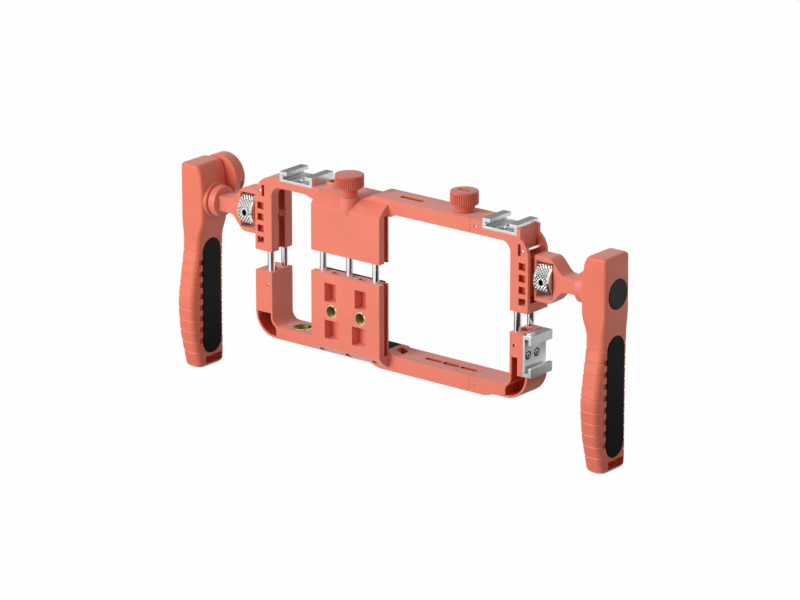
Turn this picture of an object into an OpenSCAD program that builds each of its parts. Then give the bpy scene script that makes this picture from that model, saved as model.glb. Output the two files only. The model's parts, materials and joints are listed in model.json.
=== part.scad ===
// Phone video rig: a two-part cage that clamps a phone between its upper and lower halves,
// with a swivelling grip on an arm at each side. Millimetres, +Z up, lens side at -Y.

/* [Frame] */
// Outside width of the cage
frame_w = 187; // [175:1:200]
// Depth of the cage bars, front to back
frame_d = 17.5; // [16.5:0.5:20]
// Height of the cage at rest, right part of the top bar
frame_h = 94.4; // [90:0.1:100]
// Width of an upright
upright_w = 11.8; // [11:0.1:13]
// Height of the top bar, right part
top_bar_h = 8; // [7:0.1:10]
// Height of the bottom bar
bottom_bar_h = 7; // [6:0.1:9]
// Step down from the right part of the top bar to the left part
left_step = 2.8; // [1.5:0.1:3.5]
// Height of the lower uprights
lower_upright_h = 37.2; // [35:0.1:40]
// Gap between the two halves at rest
rest_gap = 11.6; // [10:0.1:14]
// Outside radius of the upper cage corners
corner_r = 12; // [9:0.5:13]
// Outside radius of the lower cage corners
lower_corner_r = 13.6; // [10:0.1:14.5]
// Distance that the right part of the bottom bar reaches below the left part
right_drop = 1.9; // [1:0.1:2.2]
// Inside fillet of the upper corners
upper_fillet = 5.5; // [3:0.5:7]
// Inside fillet of the lower corners
lower_fillet = 5; // [3:0.5:7]
// Distance from the cage's right side to the seam of the right corner pieces
seam_in = 38.5; // [36:0.5:40]
// Length of the tongue inside a corner piece
tongue_l = 6.5; // [5:0.5:7.5]
// Wall around a tongue
tongue_wall = 2; // [1.6:0.1:2.4]
// Distance from the seam to its dowel
dowel_in = 3.4; // [3:0.1:4]
// Diameter of the seam dowels
dowel_d = 1.8; // [1.2:0.1:2.4]

/* [Uprights] */
// Diameter of every steel rod
rod_d = 4; // [3.5:0.1:4.4]
// Distance from the front and rear faces to a side rod's axis
rod_inset_y = 3; // [2.8:0.1:3.4]
// Distance from the upright's inner face to a side rod's axis
rod_inset_x = 3; // [2.8:0.1:3.4]
// Length of a side rod
side_rod_l = 50; // [46:0.5:52]
// Length of a side rod that is held in the lower upright
side_rod_held = 11.7; // [10:0.1:13]
// Height of the rod cross pin below the top of the lower upright
rod_pin_drop = 7.2; // [6:0.1:8]
// Diameter of the rod cross pin
rod_pin_d = 1.6; // [1.2:0.1:2]
// Width of the slot between an upper upright's two legs
leg_slot_w = 5.2; // [4:0.1:5.6]
// Depth of that slot
leg_slot_d = 3; // [2:0.1:3.2]
// Distance from the inner face to the floor of the outer channel
channel_floor = 5.1; // [4.9:0.1:5.5]
// Thickness of the channel's flanges
flange_t = 2.2; // [1.8:0.1:2.4]
// Height of the block that closes the channel's lower end
channel_foot = 5.4; // [4:0.1:7]
// Width of a flange window
window_w = 4.4; // [3:0.1:4.6]
// Height of a flange window
window_h = 4; // [3:0.1:4.8]
// Pitch of the flange windows, as a share of the height from the lowest one to the tall one
window_pitch = 0.23985; // [0.22:0.00001:0.25]
// Number of flange windows below the strap pin
window_n = 4; // [2:1:4]
// Height of the lowest window above the upright's lower end
window_up = 4; // [3:0.1:5]
// Diameter of the strap pin
strap_pin_d = 1.8; // [1.4:0.1:2.2]
// Distance from the outer face to the strap pin
strap_pin_in = 3.6; // [3:0.1:4]
// Distance from the top of the upright to the strap pin, as a share of the height above an arm's foot
strap_pin_drop = 0.70866; // [0.65:0.00001:0.75]

/* [Clamp] */
// Width of the clamp plates
plate_w = 47.4; // [45:0.1:52]
// Distance from the cage centre to the clamp's centre line, to the left
plate_left = 24; // [20:0.5:28]
// Distance that the plates stand in front of the cage
plate_proud = 7.4; // [7.2:0.1:9]
// Distance that the plates reach behind the cage's front face
plate_back = 0.6; // [0.4:0.1:1]
// Height of the lower plate
lower_plate_h = 47.5; // [45:0.1:49]
// Height of the sloped shoulders of the plates
shoulder_h = 6.4; // [5:0.1:7]
// Distance from the plates' front face to the clamp rods
clamp_rod_in = 3.95; // [3.6:0.05:4.2]
// Distance between clamp rods
clamp_rod_pitch = 18.2; // [17.5:0.1:19]
// Height of the clamp rods' lower ends above the bottom at rest
clamp_rod_z = 14.5; // [12:0.5:18]
// Distance from the clamp rods' upper ends to the top of the bar
clamp_rod_top = 10; // [8:0.5:14]
// Width of the groove in the plates' side faces
side_groove_w = 2.6; // [2:0.1:3]
// Depth of that groove
side_groove_d = 1.9; // [1:0.1:2]
// Width of the upper pockets in the lower plate
pocket_w = 7.8; // [6:0.1:8.2]
// Width of the lower pockets in the lower plate
low_pocket_w = 9.8; // [7:0.1:10]
// Distance from an insert's centre line to the middle of its upper pocket, outwards
pocket_out = 0.5; // [0:0.1:0.6]
// Height of the pockets in the lower plate
pocket_h = 10.4; // [8:0.1:11]
// Depth of the pockets
pocket_d = 5.8; // [4:0.1:6]
// Distance from an insert's centre to the pockets above and below it
pocket_gap = 5.3; // [5:0.1:6]
// Distance between the two threaded inserts of the plate
insert_pitch = 20; // [19:0.1:21]
// Height of the plate's inserts above the bottom
insert_z = 26.4; // [25:0.1:28]
// Square size of the clamp nut
nut_w = 6.4; // [6:0.1:6.6]
// Height of the clamp nut
nut_h = 5; // [4:0.1:6]
// Height of the clamp nut above the bottom
nut_z = 36; // [33:0.5:38]
// Diameter of the retaining ring of the clamp screw
ring_d = 6; // [5.6:0.1:6.2]
// Thickness of the retaining ring
ring_t = 1.2; // [0.8:0.1:1.6]
// Distance from the boss top to the retaining ring
ring_drop = 12; // [10:0.5:15]
// Diameter of the boss under the clamp knob
boss_d = 11.8; // [10:0.1:12.4]
// Distance that this boss stands above the left part of the top bar
boss_up = 0.8; // [0.4:0.1:1.2]
// Diameter of the clamp knob's head
knob_d = 16; // [14:0.5:18]
// Height of the clamp knob's head
knob_h = 7.2; // [7:0.1:11]
// Length of the clamp knob's neck
knob_neck = 5.2; // [3:0.1:6]
// Number of flutes around the clamp knob
knob_flutes = 54; // [40:2:60]
// Depth of the jaws, from the cage's front face
jaw_d = 15.6; // [14:0.1:16.4]
// Thickness of the jaw pads
pad_t = 1.6; // [1:0.1:2.2]
// Thickness of the pads behind the plates
plate_pad_t = 1.2; // [0.8:0.1:1.5]

/* [Threaded inserts] */
// Outside diameter of a quarter inch insert
quarter_od = 8; // [7.6:0.1:8.4]
// Bore of a quarter inch insert
quarter_bore = 5.2; // [5:0.05:6.4]
// Length of a quarter inch insert
quarter_l = 7; // [5:0.1:7.2]
// Outside diameter of the three-eighths insert
three_od = 10.8; // [10.4:0.1:12.6]
// Bore of the three-eighths insert
three_bore = 8; // [7.9:0.05:9.5]
// Distance from the cage's left side to the three-eighths insert
three_in = 26.5; // [25.5:0.5:30]
// Distance from the clamp knob to the top insert, as a share of the distance to the left top shoe
top_insert_out = 0.56459; // [0.52:0.00001:0.6]
// Diameter of the boss around the top insert
top_boss_d = 9.6; // [9.2:0.1:10.4]

/* [Cold shoes] */
// Width of a cold shoe
shoe_w = 23; // [22.4:0.1:23.6]
// Length of a cold shoe
shoe_l = 18.5; // [17:0.1:20]
// Height of a cold shoe
shoe_h = 5.8; // [5.4:0.1:6.4]
// Width inside a cold shoe
shoe_in_w = 18.8; // [18.5:0.05:18.9]
// Height of the slot inside a cold shoe
shoe_in_h = 2.2; // [2:0.05:2.3]
// Width between a cold shoe's lips
shoe_neck_w = 12.6; // [12.4:0.1:13]
// Thickness of a cold shoe's lips
shoe_lip_t = 2; // [1.4:0.1:2]
// Height of the top shoes' seats below the top of the right bar
shoe_drop = 4; // [3.5:0.1:4.6]
// Distance from the cage's right side to the middle of the right top shoe
right_shoe_in = 18.9; // [18.5:0.1:19.5]
// Distance from the cage's left side to the middle of the left top shoe
left_shoe_in = 29.1; // [27.5:0.1:29.5]
// Distance between a shoe's two screws
shoe_screw_pitch = 7.4; // [5:0.1:8]
// Distance from a shoe's front to the middle of its screws
shoe_screw_y = 6.6; // [6.4:0.1:9.5]
// Diameter of a shoe screw's thread
shoe_screw_d = 2.5; // [2:0.1:3]
// Diameter of a shoe screw's head
shoe_screw_head = 4.8; // [3.8:0.1:5]
// Length of a shoe screw below the shoe
shoe_screw_l = 3.2; // [2.5:0.1:3.6]
// Depth of the side shoe's seat in the right lower upright
side_seat = 3.1; // [2.5:0.1:3.4]
// Height of the side shoe's lower edge above the bottom
side_shoe_z = 13.8; // [13:0.1:14]

/* [Accessory screw] */
// Distance from the right corner's seam to the accessory screw
acc_in = 10.5; // [9:0.5:14]
// Diameter of its head
acc_d = 15.4; // [14:0.1:16]
// Height of its head
acc_h = 9.4; // [8:0.1:10]
// Diameter of its base
acc_base_d = 11; // [9.5:0.1:12]
// Height of its base
acc_base_h = 1.8; // [1.4:0.1:3]
// Number of flutes around its head
acc_flutes = 40; // [30:2:48]
// Diameter of its thread
acc_screw_d = 5; // [4:0.1:6]
// Outside diameter of its brass bush
acc_bush_d = 8; // [7.5:0.1:9]

/* [Arms] */
// Height of the swivel axis above the lower end of the upper uprights, as a share of their height
axis_up = 0.45794; // [0.44:0.00001:0.48]
// Distance from the cage to an arm's head
head_gap = 1.2; // [1:0.1:2.5]
// Length of an arm's head, along the arm
head_l = 13.9; // [13:0.1:15.5]
// Height of an arm's head
head_h = 25; // [24:0.1:27]
// Depth of an arm, front to back
arm_d = 10; // [9:0.1:11]
// Wall of the head on the cage side
head_wall = 1.4; // [1.2:0.1:2]
// Height of the window in the head
head_window_h = 19.6; // [19:0.1:20]
// Width of a thumbwheel
wheel_w = 10.2; // [8.6:0.1:10.4]
// Diameter of a thumbwheel
wheel_d = 18.4; // [17:0.1:18.6]
// Free space at each end of a thumbwheel
wheel_gap = 0.4; // [0.3:0.05:0.8]
// Diameter of a thumbwheel's stud
stud_d = 5; // [4:0.1:6]
// Outside diameter of the threaded bush for the stud
stud_bush_d = 6.8; // [6.4:0.1:7]
// Height of an arm's neck
neck_h = 8.6; // [8:0.1:10]
// Length of the slope from the head to the neck
neck_slope = 6; // [4:0.1:8]
// Distance from the arm's head to its collar
neck_l = 8.6; // [8:0.1:14]
// Diameter of the arm's collar
collar_d = 17.2; // [16:0.1:18]
// Length of the arm's collar
collar_l = 4.5; // [3:0.1:6]

/* [Grips] */
// Thickness of the grip at the swivel
grip_t = 15.9; // [15:0.1:17]
// Top of the grip above the swivel axis
grip_up = 21; // [19:0.5:23]
// Bottom of the grip below the swivel axis
grip_down = 97.5; // [90:0.1:102]
// Depth of the grip at the swivel
grip_d = 21.2; // [20:0.1:22.5]
// Distance that the grip's middle sits in front of the swivel axis
grip_front = 0.5; // [0:0.1:1]
// Distance between grip ribs
rib_pitch = 6.5; // [6:0.1:6.8]
// Number of grip ribs
rib_n = 9; // [7:1:9]
// Depth of the grooves between ribs
rib_d = 0.6; // [0.3:0.1:0.9]
// Height of the lowest groove above the grip's bottom
rib_up = 7.4; // [6:0.1:8]
// Width of the black grip inlays
inlay_w = 15; // [12:0.1:15.4]
// Height of the black grip inlays
inlay_h = 66.8; // [60:0.1:68]
// Depth of the inlay recess
inlay_t = 1.6; // [1.2:0.1:2]
// Distance that an inlay stands out of its recess
inlay_proud = 0.3; // [0.1:0.05:0.5]
// Height of an inlay's lower end above the grip's bottom
inlay_up = 7.9; // [7.7:0.1:9]
// Width of the strap slot
strap_w = 13.2; // [10:0.1:13.6]
// Height of the strap slot
strap_h = 4.4; // [4.2:0.1:4.6]
// Height of the strap slot above the grip's bottom
strap_up = 2.1; // [2:0.1:2.6]
// Diameter of the swivel bolt
bolt_d = 5; // [4:0.1:6]
// Diameter of the swivel bolt's head
bolt_head_d = 9; // [8:0.1:10]
// Height of the swivel bolt's head
bolt_head_h = 2.6; // [2:0.1:3.5]
// Length of the swivel bolt inside the arm
bolt_in_arm = 10; // [8:0.5:13]
// Thickness of the friction washer
washer_t = 0.8; // [0.5:0.1:1.2]
// Diameter of the grip's ring around the swivel
ring_face_d = 20; // [18:0.5:21]
// Height of that ring
ring_face_h = 1.5; // [1:0.1:2]
// Diameter of the black cap over the bolt
cap_d = 16.4; // [15:0.1:17]
// Thickness of the cap
cap_t = 1.4; // [1:0.1:2]

/* [Remote pod] */
// Outside diameter of the pod on the left grip
pod_d = 25.4; // [25:0.1:28]
// Depth of the pod behind the grip
pod_l = 7.5; // [7:0.1:9]
// Wall of the pod
pod_wall = 2.2; // [1.8:0.1:2.4]
// Height of the pod's centre above the swivel axis
pod_up = 9.9; // [9:0.1:11]
// Distance from the grip's inner face to the pod's centre, outwards
pod_out = 5.9; // [5.5:0.1:7]
// Diameter of the shutter button
button_d = 11; // [9:0.1:13]
// Distance that the shutter button stands out
button_proud = 1.6; // [1.2:0.1:2]
// Travel of the shutter button
button_travel = 0.8; // [0.5:0.1:1]

/* [Fits] */
// Radial clearance of parts that turn or slide in each other
run_gap = 0.05; // [0.02:0.01:0.1]
// Clearance of parts that are fixed in each other
fix_gap = 0.02; // [0.01:0.01:0.05]
// Free space between faces that move past each other
face_gap = 0.3; // [0.2:0.05:0.4]

/* [Hidden] */
$fn = 48;
coral = "#ef7b64";
red_coral = "#d9553f";
steel = "#c9ccd0";
silver = "#d9dadc";
brass = "#d8bd6a";
black = "#222224";
button_grey = "#3a3a3c";

// Cage
xo = frame_w / 2;
xi = xo - upright_w;
bar_in = min(xi, xo - max(corner_r, lower_corner_r)) - 1;
mid_y = frame_d / 2;
bar_z = frame_h - top_bar_h;
left_top = frame_h - left_step;
upper_z = lower_upright_h + rest_gap;
floor_x = xi + channel_floor;
rod_x = xi + rod_inset_x;
rod_r = rod_d / 2;
side_rod_z = lower_upright_h - side_rod_held;
seat_z = frame_h - shoe_drop;
small = 0.01;
seam_x = xo - seam_in;
dowel_x = seam_x + dowel_in;
right_shoe_x = xo - right_shoe_in;
left_shoe_x = xo - left_shoe_in;
three_left = xo - three_in;
acc_x = seam_x - acc_in;
// An arm's foot in the upright's channel is this much shorter than its head at each end
foot_short = 2;
axis_z = upper_z + axis_up * (left_top - upper_z);
foot_top = axis_z + head_h / 2 - foot_short;
strap_pin_z = left_top - strap_pin_drop * (left_top - foot_top);
// Distance from the channel's floor to the flange windows
window_in = 0.6;
// Slot between the legs ends this far above the start of the upper fillet
leg_slot_over = 2;
// Tall window beside the strap pin: its width, height and drop below the pin
tall_window_w = 1.8;
tall_window_h = 6.4;
tall_window_drop = 2.7;
window_z = upper_z + window_up;
window_rise = strap_pin_z - tall_window_drop - window_z;
// Wall around the recess in the top of a lower upright, and the depth of that recess
post_wall = 1.6;
post_recess = 4;
// Wall of the pocket in a lower corner, its depth and its inset at the bar's end
corner_wall = 1.3;
pocket_depth_y = 12;
pocket_inset = 2.4;
// Slot above the pocket of the right lower corner
slot_x0 = xi + corner_wall + 0.2;
slot_w = 3.6;
slot_end = side_rod_z - 2;

// Ramps between the left and right parts of the bars, from the clamp's centre line, and their lengths
top_ramp = 6;
top_ramp_l = 7;
low_ramp = 9;
low_ramp_l = 10;
// Ramp on the right lower corner's underside, from the seam, and its length
corner_ramp = 9;
corner_ramp_l = 9;

// Clamp
px0 = -plate_left - plate_w / 2;
px1 = -plate_left + plate_w / 2;
plate_y = -plate_proud;
rod_y = plate_y + clamp_rod_in;
upper_plate_z = lower_plate_h + rest_gap;
upper_shoulder_z = left_top - shoulder_h;
guide_top = left_top - clamp_rod_top;
ring_z = left_top - ring_drop;
knob_left = plate_left + knob_d / 2;
top_insert_left = knob_left + top_insert_out * (left_shoe_x - shoe_w / 2 - knob_left);
// Coral rim at each end of the jaw pads, inside and outside the plate's edge, and the slope beyond it
rim_in = 2.9;
rim_out = 1.2;
rim_slope = 4.5;
// The same at the left end of the upper jaw
upper_rim_out = 4.5;
upper_rim_slope = 6.9;
// Bend in the plates' sloped shoulders, as shares of the depth and of the height
lower_bend = [0.55, 0.36];
upper_bend = [0.5, 0.62];
// Distance from the clamp rods to the groove in the plates' side faces
groove_back = 1.6;
// Recesses between the rods in the top of the lower plate
top_recess = [5, 3, 3];
// Slots in the bottom bar and in the top bar
bar_cut_d = 3.4;
bar_slot_x = 19.2;
bar_slot_l = 10.4;
bar_slot_w = 2.2;
bar_slot_pitch = 11.9;
bar_slot_n = 3;
square_x = 2.3;
square_w = 5;
top_slot_x = 1.8;
top_slot_l = 15;
top_slot_w = 3;
// Wall outside the right top shoe
end_wall = 2.2;
// Overlap of solids that are joined into one
root = 2;

// Arms and grips, right-hand side
head_x = xo + head_gap;
wheel_x = head_x + head_wall + wheel_gap;
head_end = head_x + head_l;
collar_x = head_end + neck_slope + neck_l;
grip_x0 = collar_x + collar_l + face_gap + ring_face_h;
grip_x1 = grip_x0 + grip_t;
grip_z0 = axis_z - grip_down;
grip_z1 = axis_z + grip_up;
grip_y0 = mid_y - grip_front - grip_d / 2;
grip_y1 = mid_y - grip_front + grip_d / 2;
pod_y = grip_y1;
pod_x = grip_x0 + pod_out;
pod_z = axis_z + pod_up;
// Wall left between the remote and the grip's outer face
pod_side = 1.4;
puck_r = min(pod_d / 2 - pod_wall, grip_x1 - pod_x - pod_side);
pod_back = pod_y + pod_l;
// Root of the pod in the grip and its free space round the arm
pod_root = 1.2;
pod_free = 1;
// Depth of the remote in the pod, the part that stands out, and the depth of its button's recess
puck_l = 5.4;
puck_proud = 0.4;
button_recess = 2.4;
puck_back = pod_back + puck_proud;
// Slot in the pod's inner side that shows the remote: rear and front edge, lower and upper edge
pod_slot_y = [3.2, 1.6];
pod_slot_z = [6, 1.5];
// Distance that the inlays sit in front of the swivel axis, and the strap slots behind it
inlay_front = 0.4;
strap_back = 0.9;

// The origin is under the middle of the whole rig, on the surface that its grips stand on
front_y = rod_y - knob_d / 2;
back_y = puck_back + button_proud;
centre_y = (front_y + back_y) / 2;

function arc(c, r, a0, a1, n = 8) =
  [for (i = [0:n]) c + r * [cos(a0 + (a1 - a0) * i / n), sin(a0 + (a1 - a0) * i / n)]];
function ease(t) = t * t * (3 - 2 * t);
// Soft step from p to q
function soft(p, q, n = 8) =
  [for (i = [0:n]) [p[0] + (q[0] - p[0]) * i / n, p[1] + (q[1] - p[1]) * ease(i / n)]];
// Concave fillet in the corner p, towards sx and sz
function fillet(p, r, sx, sz, n = 8) =
  concat([p], [for (i = [0:n]) p + r * [sx * (1 - sin(90 * i / n)), sz * (1 - cos(90 * i / n))]]);

module in_place() {
  translate([0, -centre_y, -grip_z0]) children();
}
module side(s) {
  mirror([s < 0 ? 1 : 0, 0, 0]) children();
}
module along_x(x0, x1) {
  translate([x0, 0, 0]) rotate([90, 0, 90]) linear_extrude(x1 - x0) children();
}
module along_y(y0, y1) {
  translate([0, y1, 0]) rotate([90, 0, 0]) linear_extrude(y1 - y0) children();
}
module box(lo, hi) {
  translate(lo) cube(hi - lo);
}
module pin_x(y, z, x0, x1, r) {
  translate([x0, y, z]) rotate([0, 90, 0]) cylinder(r = r, h = x1 - x0);
}
module pin_y(x, z, y0, y1, r) {
  translate([x, y0, z]) rotate([-90, 0, 0]) cylinder(r = r, h = y1 - y0);
}
module pin_z(x, y, z0, z1, r) {
  translate([x, y, z0]) cylinder(r = r, h = z1 - z0);
}
module ring_z_axis(x, y, z0, z1, r, bore) {
  difference() {
    pin_z(x, y, z0, z1, r);
    pin_z(x, y, z0 - 1, z1 + 1, bore);
  }
}

// Positions of the two side rods of one upright
module each_side_rod() {
  for (y = [rod_inset_y, frame_d - rod_inset_y]) translate([rod_x, y, 0]) children();
}
module each_guide_rod() {
  for (s = [-1, 1]) translate([-plate_left + s * clamp_rod_pitch, rod_y, 0]) children();
}

// Upper uprights, right-hand side
module upper_upright_2d() {
  polygon(concat([[xi, upper_z], [xo, upper_z]],
    arc([xo - corner_r, left_top - corner_r], corner_r, 0, 90),
    [[bar_in, left_top], [bar_in, bar_z], [xi, bar_z]]));
  polygon(fillet([xi, bar_z], upper_fillet, -1, -1));
}
module upper_upright_cuts() {
  channel_z = upper_z + channel_foot;
  box([floor_x, flange_t, channel_z], [xo + 1, frame_d - flange_t, frame_h + 1]);
  box([xi - 1, mid_y - leg_slot_w / 2, upper_z - 1],
    [xi + leg_slot_d, mid_y + leg_slot_w / 2, bar_z - upper_fillet + leg_slot_over]);
  for (i = [0:window_n - 1]) translate([0, 0, window_z + i * window_pitch * window_rise])
    box([floor_x + window_in, -1, 0], [floor_x + window_in + window_w, frame_d + 1, window_h]);
  translate([floor_x, -1, strap_pin_z - tall_window_drop])
    cube([tall_window_w, frame_d + 2, tall_window_h]);
  each_side_rod() pin_z(0, 0, upper_z - 1, upper_z + side_rod_l - side_rod_held, rod_r + run_gap);
  pin_y(xo - strap_pin_in, strap_pin_z, -1, frame_d + 1, strap_pin_d / 2 + fix_gap);
  pin_x(mid_y, axis_z, xi - 1, floor_x + 1, stud_bush_d / 2 + fix_gap);
}

// Lower uprights, right-hand side
module lower_upright_2d() {
  polygon(concat([[xi, bottom_bar_h], [xi, lower_upright_h], [xo, lower_upright_h]],
    arc([xo - lower_corner_r, lower_corner_r], lower_corner_r, 0, -90),
    [[bar_in, 0], [bar_in, bottom_bar_h]]));
  polygon(fillet([xi, bottom_bar_h], lower_fillet, -1, 1));
}
module corner_pocket_2d() {
  difference() {
    polygon(concat([[xi + corner_wall, lower_corner_r]],
      arc([xo - lower_corner_r, lower_corner_r], lower_corner_r - corner_wall, 0, -90),
      [[xi - lower_fillet + pocket_inset, corner_wall],
        [xi - lower_fillet + pocket_inset, bottom_bar_h - pocket_inset]]));
    translate([xi - lower_fillet, bottom_bar_h + lower_fillet]) circle(lower_fillet + corner_wall);
  }
}
module lower_upright_cuts(slot = false) {
  each_side_rod() pin_z(0, 0, side_rod_z, lower_upright_h + 1, rod_r + fix_gap);
  pin_y(rod_x, lower_upright_h - rod_pin_drop, -1, frame_d + 1, rod_pin_d / 2 + fix_gap);
  box([xi + post_wall, mid_y - leg_slot_w / 2, lower_upright_h - post_recess],
    [xo - side_seat - post_wall, mid_y + leg_slot_w / 2, lower_upright_h + 1]);
  along_y(-1, pocket_depth_y) union() {
    corner_pocket_2d();
    if (slot) translate([slot_x0, lower_corner_r / 2]) square([slot_w, slot_end - lower_corner_r / 2]);
  }
}

// Seams: the bar's tongue, and the same shape as a cut
module tongue(z0, z1, gap) {
  tongue_side = 2 * tongue_wall;
  box([seam_x - 1, tongue_side - gap, z0 + tongue_wall - gap],
    [seam_x + tongue_l + gap, frame_d - tongue_side + gap, z1 - tongue_wall + gap]);
}
module seam_dowel(z, gap) {
  pin_y(dowel_x, z, 0, frame_d, dowel_d / 2 + gap);
}
lower_dowel_z = bottom_bar_h / 2;
upper_dowel_z = bar_z + top_bar_h / 2;

// Lower half
module lower_plate_2d() {
  polygon([[plate_back, 0], [plate_back, lower_plate_h], [plate_y, lower_plate_h],
    [plate_y, shoulder_h], [plate_y * lower_bend[0], shoulder_h * lower_bend[1]], [0, 0]]);
}
module plate_pockets() {
  out = insert_pitch / 2 + pocket_out + pocket_w / 2;
  for (s = [-1, 1]) translate([-plate_left, plate_y - 1, insert_z]) side(s) {
    translate([out - pocket_w, 0, pocket_gap]) cube([pocket_w, pocket_d + 1, pocket_h]);
    translate([out - low_pocket_w, 0, -pocket_gap - pocket_h]) cube([low_pocket_w, pocket_d + 1, pocket_h]);
  }
}
module plate_groove(z0, z1) {
  for (s = [-1, 1]) translate([-plate_left + s * plate_w / 2, rod_y + groove_back, z0])
    translate([-side_groove_d, -side_groove_w / 2, 0]) cube([2 * side_groove_d, side_groove_w, z1 - z0]);
}
module nut_pocket() {
  w = nut_w + 2 * fix_gap;
  box([-plate_left - w / 2, rod_y - w / 2, nut_z - fix_gap],
    [-plate_left + w / 2, plate_back + 1, nut_z + nut_h + fix_gap]);
}
// Coral rims at the ends of a jaw's pad: on top of z towards +Z, or under it towards -Z
module jaw_rim(s, z, dir, out, slope) {
  half = plate_w / 2;
  translate([-plate_left, 0, 0]) side(s) along_y(0, jaw_d)
    polygon(concat([[half - rim_in, z - dir * small], [half - rim_in, z + dir * pad_t]],
      soft([half + out, z + dir * pad_t], [half + out + slope, z - dir * small])));
}
module bottom_bar_2d() {
  polygon(concat([[-bar_in - small, bottom_bar_h], [-bar_in - small, 0]],
    soft([low_ramp - plate_left, 0], [low_ramp - plate_left + low_ramp_l, -right_drop]),
    [[seam_x, -right_drop], [seam_x, bottom_bar_h]]));
}
module lower_frame() color(coral) in_place() difference() {
  union() {
    along_y(0, frame_d) bottom_bar_2d();
    side(-1) along_y(0, frame_d) lower_upright_2d();
    along_x(px0, px1) lower_plate_2d();
    for (s = [-1, 1]) jaw_rim(s, bottom_bar_h, 1, rim_out, rim_slope);
    tongue(0, bottom_bar_h, 0);
  }
  side(-1) lower_upright_cuts();
  each_guide_rod() pin_z(0, 0, -1, lower_plate_h + 1, rod_r + run_gap);
  pin_z(-plate_left, rod_y, -1, lower_plate_h + 1, rod_r + face_gap);
  plate_pockets();
  plate_groove(bottom_bar_h, lower_plate_h + 1);
  nut_pocket();
  for (s = [-1, 1]) pin_y(-plate_left + s * insert_pitch / 2, insert_z, plate_y - 1,
    plate_y + quarter_l, quarter_od / 2 + fix_gap);
  for (s = [-1, 1]) translate([-plate_left + s * clamp_rod_pitch / 2, rod_y, lower_plate_h])
    translate([-top_recess[0] / 2, -top_recess[1] / 2, -top_recess[2]]) cube(top_recess + [0, 0, 1]);
  pin_z(-three_left, mid_y, -1, bottom_bar_h + 1, three_od / 2 + fix_gap);
  for (i = [0:bar_slot_n - 1])
    translate([bar_slot_x + i * bar_slot_pitch, mid_y - bar_slot_w / 2, bottom_bar_h - bar_cut_d])
      cube([bar_slot_l, bar_slot_w, bar_cut_d + 1]);
  translate([square_x - square_w / 2, mid_y - square_w / 2, bottom_bar_h - bar_cut_d])
    cube([square_w, square_w, bar_cut_d + 1]);
  seam_dowel(lower_dowel_z, fix_gap);
}
side_seat_x = xo - side_seat;
module corner_bar_2d() {
  polygon(concat([[seam_x + fix_gap, bottom_bar_h], [seam_x + fix_gap, -right_drop]],
    soft([seam_x + corner_ramp, -right_drop], [seam_x + corner_ramp + corner_ramp_l, 0]),
    [[bar_in + small, 0], [bar_in + small, bottom_bar_h]]));
}
module lower_corner() color(coral) in_place() difference() {
  union() {
    along_y(0, frame_d) corner_bar_2d();
    along_y(0, frame_d) lower_upright_2d();
  }
  lower_upright_cuts(true);
  box([side_seat_x, -1, side_shoe_z - fix_gap], [xo + 1, frame_d + 1, lower_upright_h + 1]);
  shoe_screw_holes_side();
  tongue(0, bottom_bar_h, fix_gap);
  seam_dowel(lower_dowel_z, fix_gap);
}
module lower_dowel() color(steel) in_place() seam_dowel(lower_dowel_z, 0);
module side_rods() color(steel) in_place() for (s = [-1, 1]) side(s) difference() {
  each_side_rod() pin_z(0, 0, side_rod_z, side_rod_z + side_rod_l, rod_r);
  pin_y(rod_x, lower_upright_h - rod_pin_drop, -1, frame_d + 1, rod_pin_d / 2 + fix_gap);
}
module rod_pins() color(silver) in_place() for (s = [-1, 1]) side(s)
  pin_y(rod_x, lower_upright_h - rod_pin_drop, 0, frame_d, rod_pin_d / 2);
module plate_inserts() color(brass) in_place() for (s = [-1, 1])
  translate([-plate_left + s * insert_pitch / 2, plate_y, insert_z]) rotate([-90, 0, 0])
    ring_z_axis(0, 0, 0, quarter_l, quarter_od / 2, quarter_bore / 2);
module base_insert() color(brass) in_place()
  ring_z_axis(-three_left, mid_y, 0, bottom_bar_h, three_od / 2, three_bore / 2);
module clamp_nut() color(brass) in_place() difference() {
  box([-plate_left - nut_w / 2, rod_y - nut_w / 2, nut_z],
    [-plate_left + nut_w / 2, rod_y + nut_w / 2, nut_z + nut_h]);
  pin_z(-plate_left, rod_y, nut_z - 1, nut_z + nut_h + 1, rod_r + run_gap);
}
module lower_jaw_pad() color(black) in_place()
  box([px0 + rim_in + fix_gap, plate_back + plate_pad_t + face_gap, bottom_bar_h],
    [px1 - rim_in - fix_gap, jaw_d, bottom_bar_h + pad_t]);
module lower_plate_pad() color(black) in_place()
  box([px0 + rim_in, plate_back, bottom_bar_h + pad_t + face_gap],
    [px1 - rim_in, plate_back + plate_pad_t, lower_plate_h + face_gap]);

// Cold shoe on its back, centred, length along +Y from the front
shoe_base = shoe_h - shoe_lip_t - shoe_in_h;
shoe_head_h = 1;
module shoe() difference() {
  translate([-shoe_w / 2, 0, 0]) cube([shoe_w, shoe_l, shoe_h]);
  translate([-shoe_in_w / 2, -1, shoe_base]) cube([shoe_in_w, shoe_l + 2, shoe_in_h]);
  translate([-shoe_neck_w / 2, -1, shoe_base]) cube([shoe_neck_w, shoe_l + 2, shoe_h]);
  shoe_screws(fix_gap);
}
module shoe_screws(gap) {
  for (s = [-1, 1]) translate([0, shoe_screw_y + s * shoe_screw_pitch / 2, 0]) {
    pin_z(0, 0, -shoe_screw_l - gap, shoe_base - shoe_head_h + small, shoe_screw_d / 2 + gap);
    pin_z(0, 0, shoe_base - shoe_head_h - gap, shoe_base + (gap > 0 ? 1 : 0), shoe_screw_head / 2 + gap);
  }
}
module on_left_seat() {
  translate([-left_shoe_x, 0, seat_z]) children();
}
module on_right_seat() {
  translate([right_shoe_x, 0, seat_z]) children();
}
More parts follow.
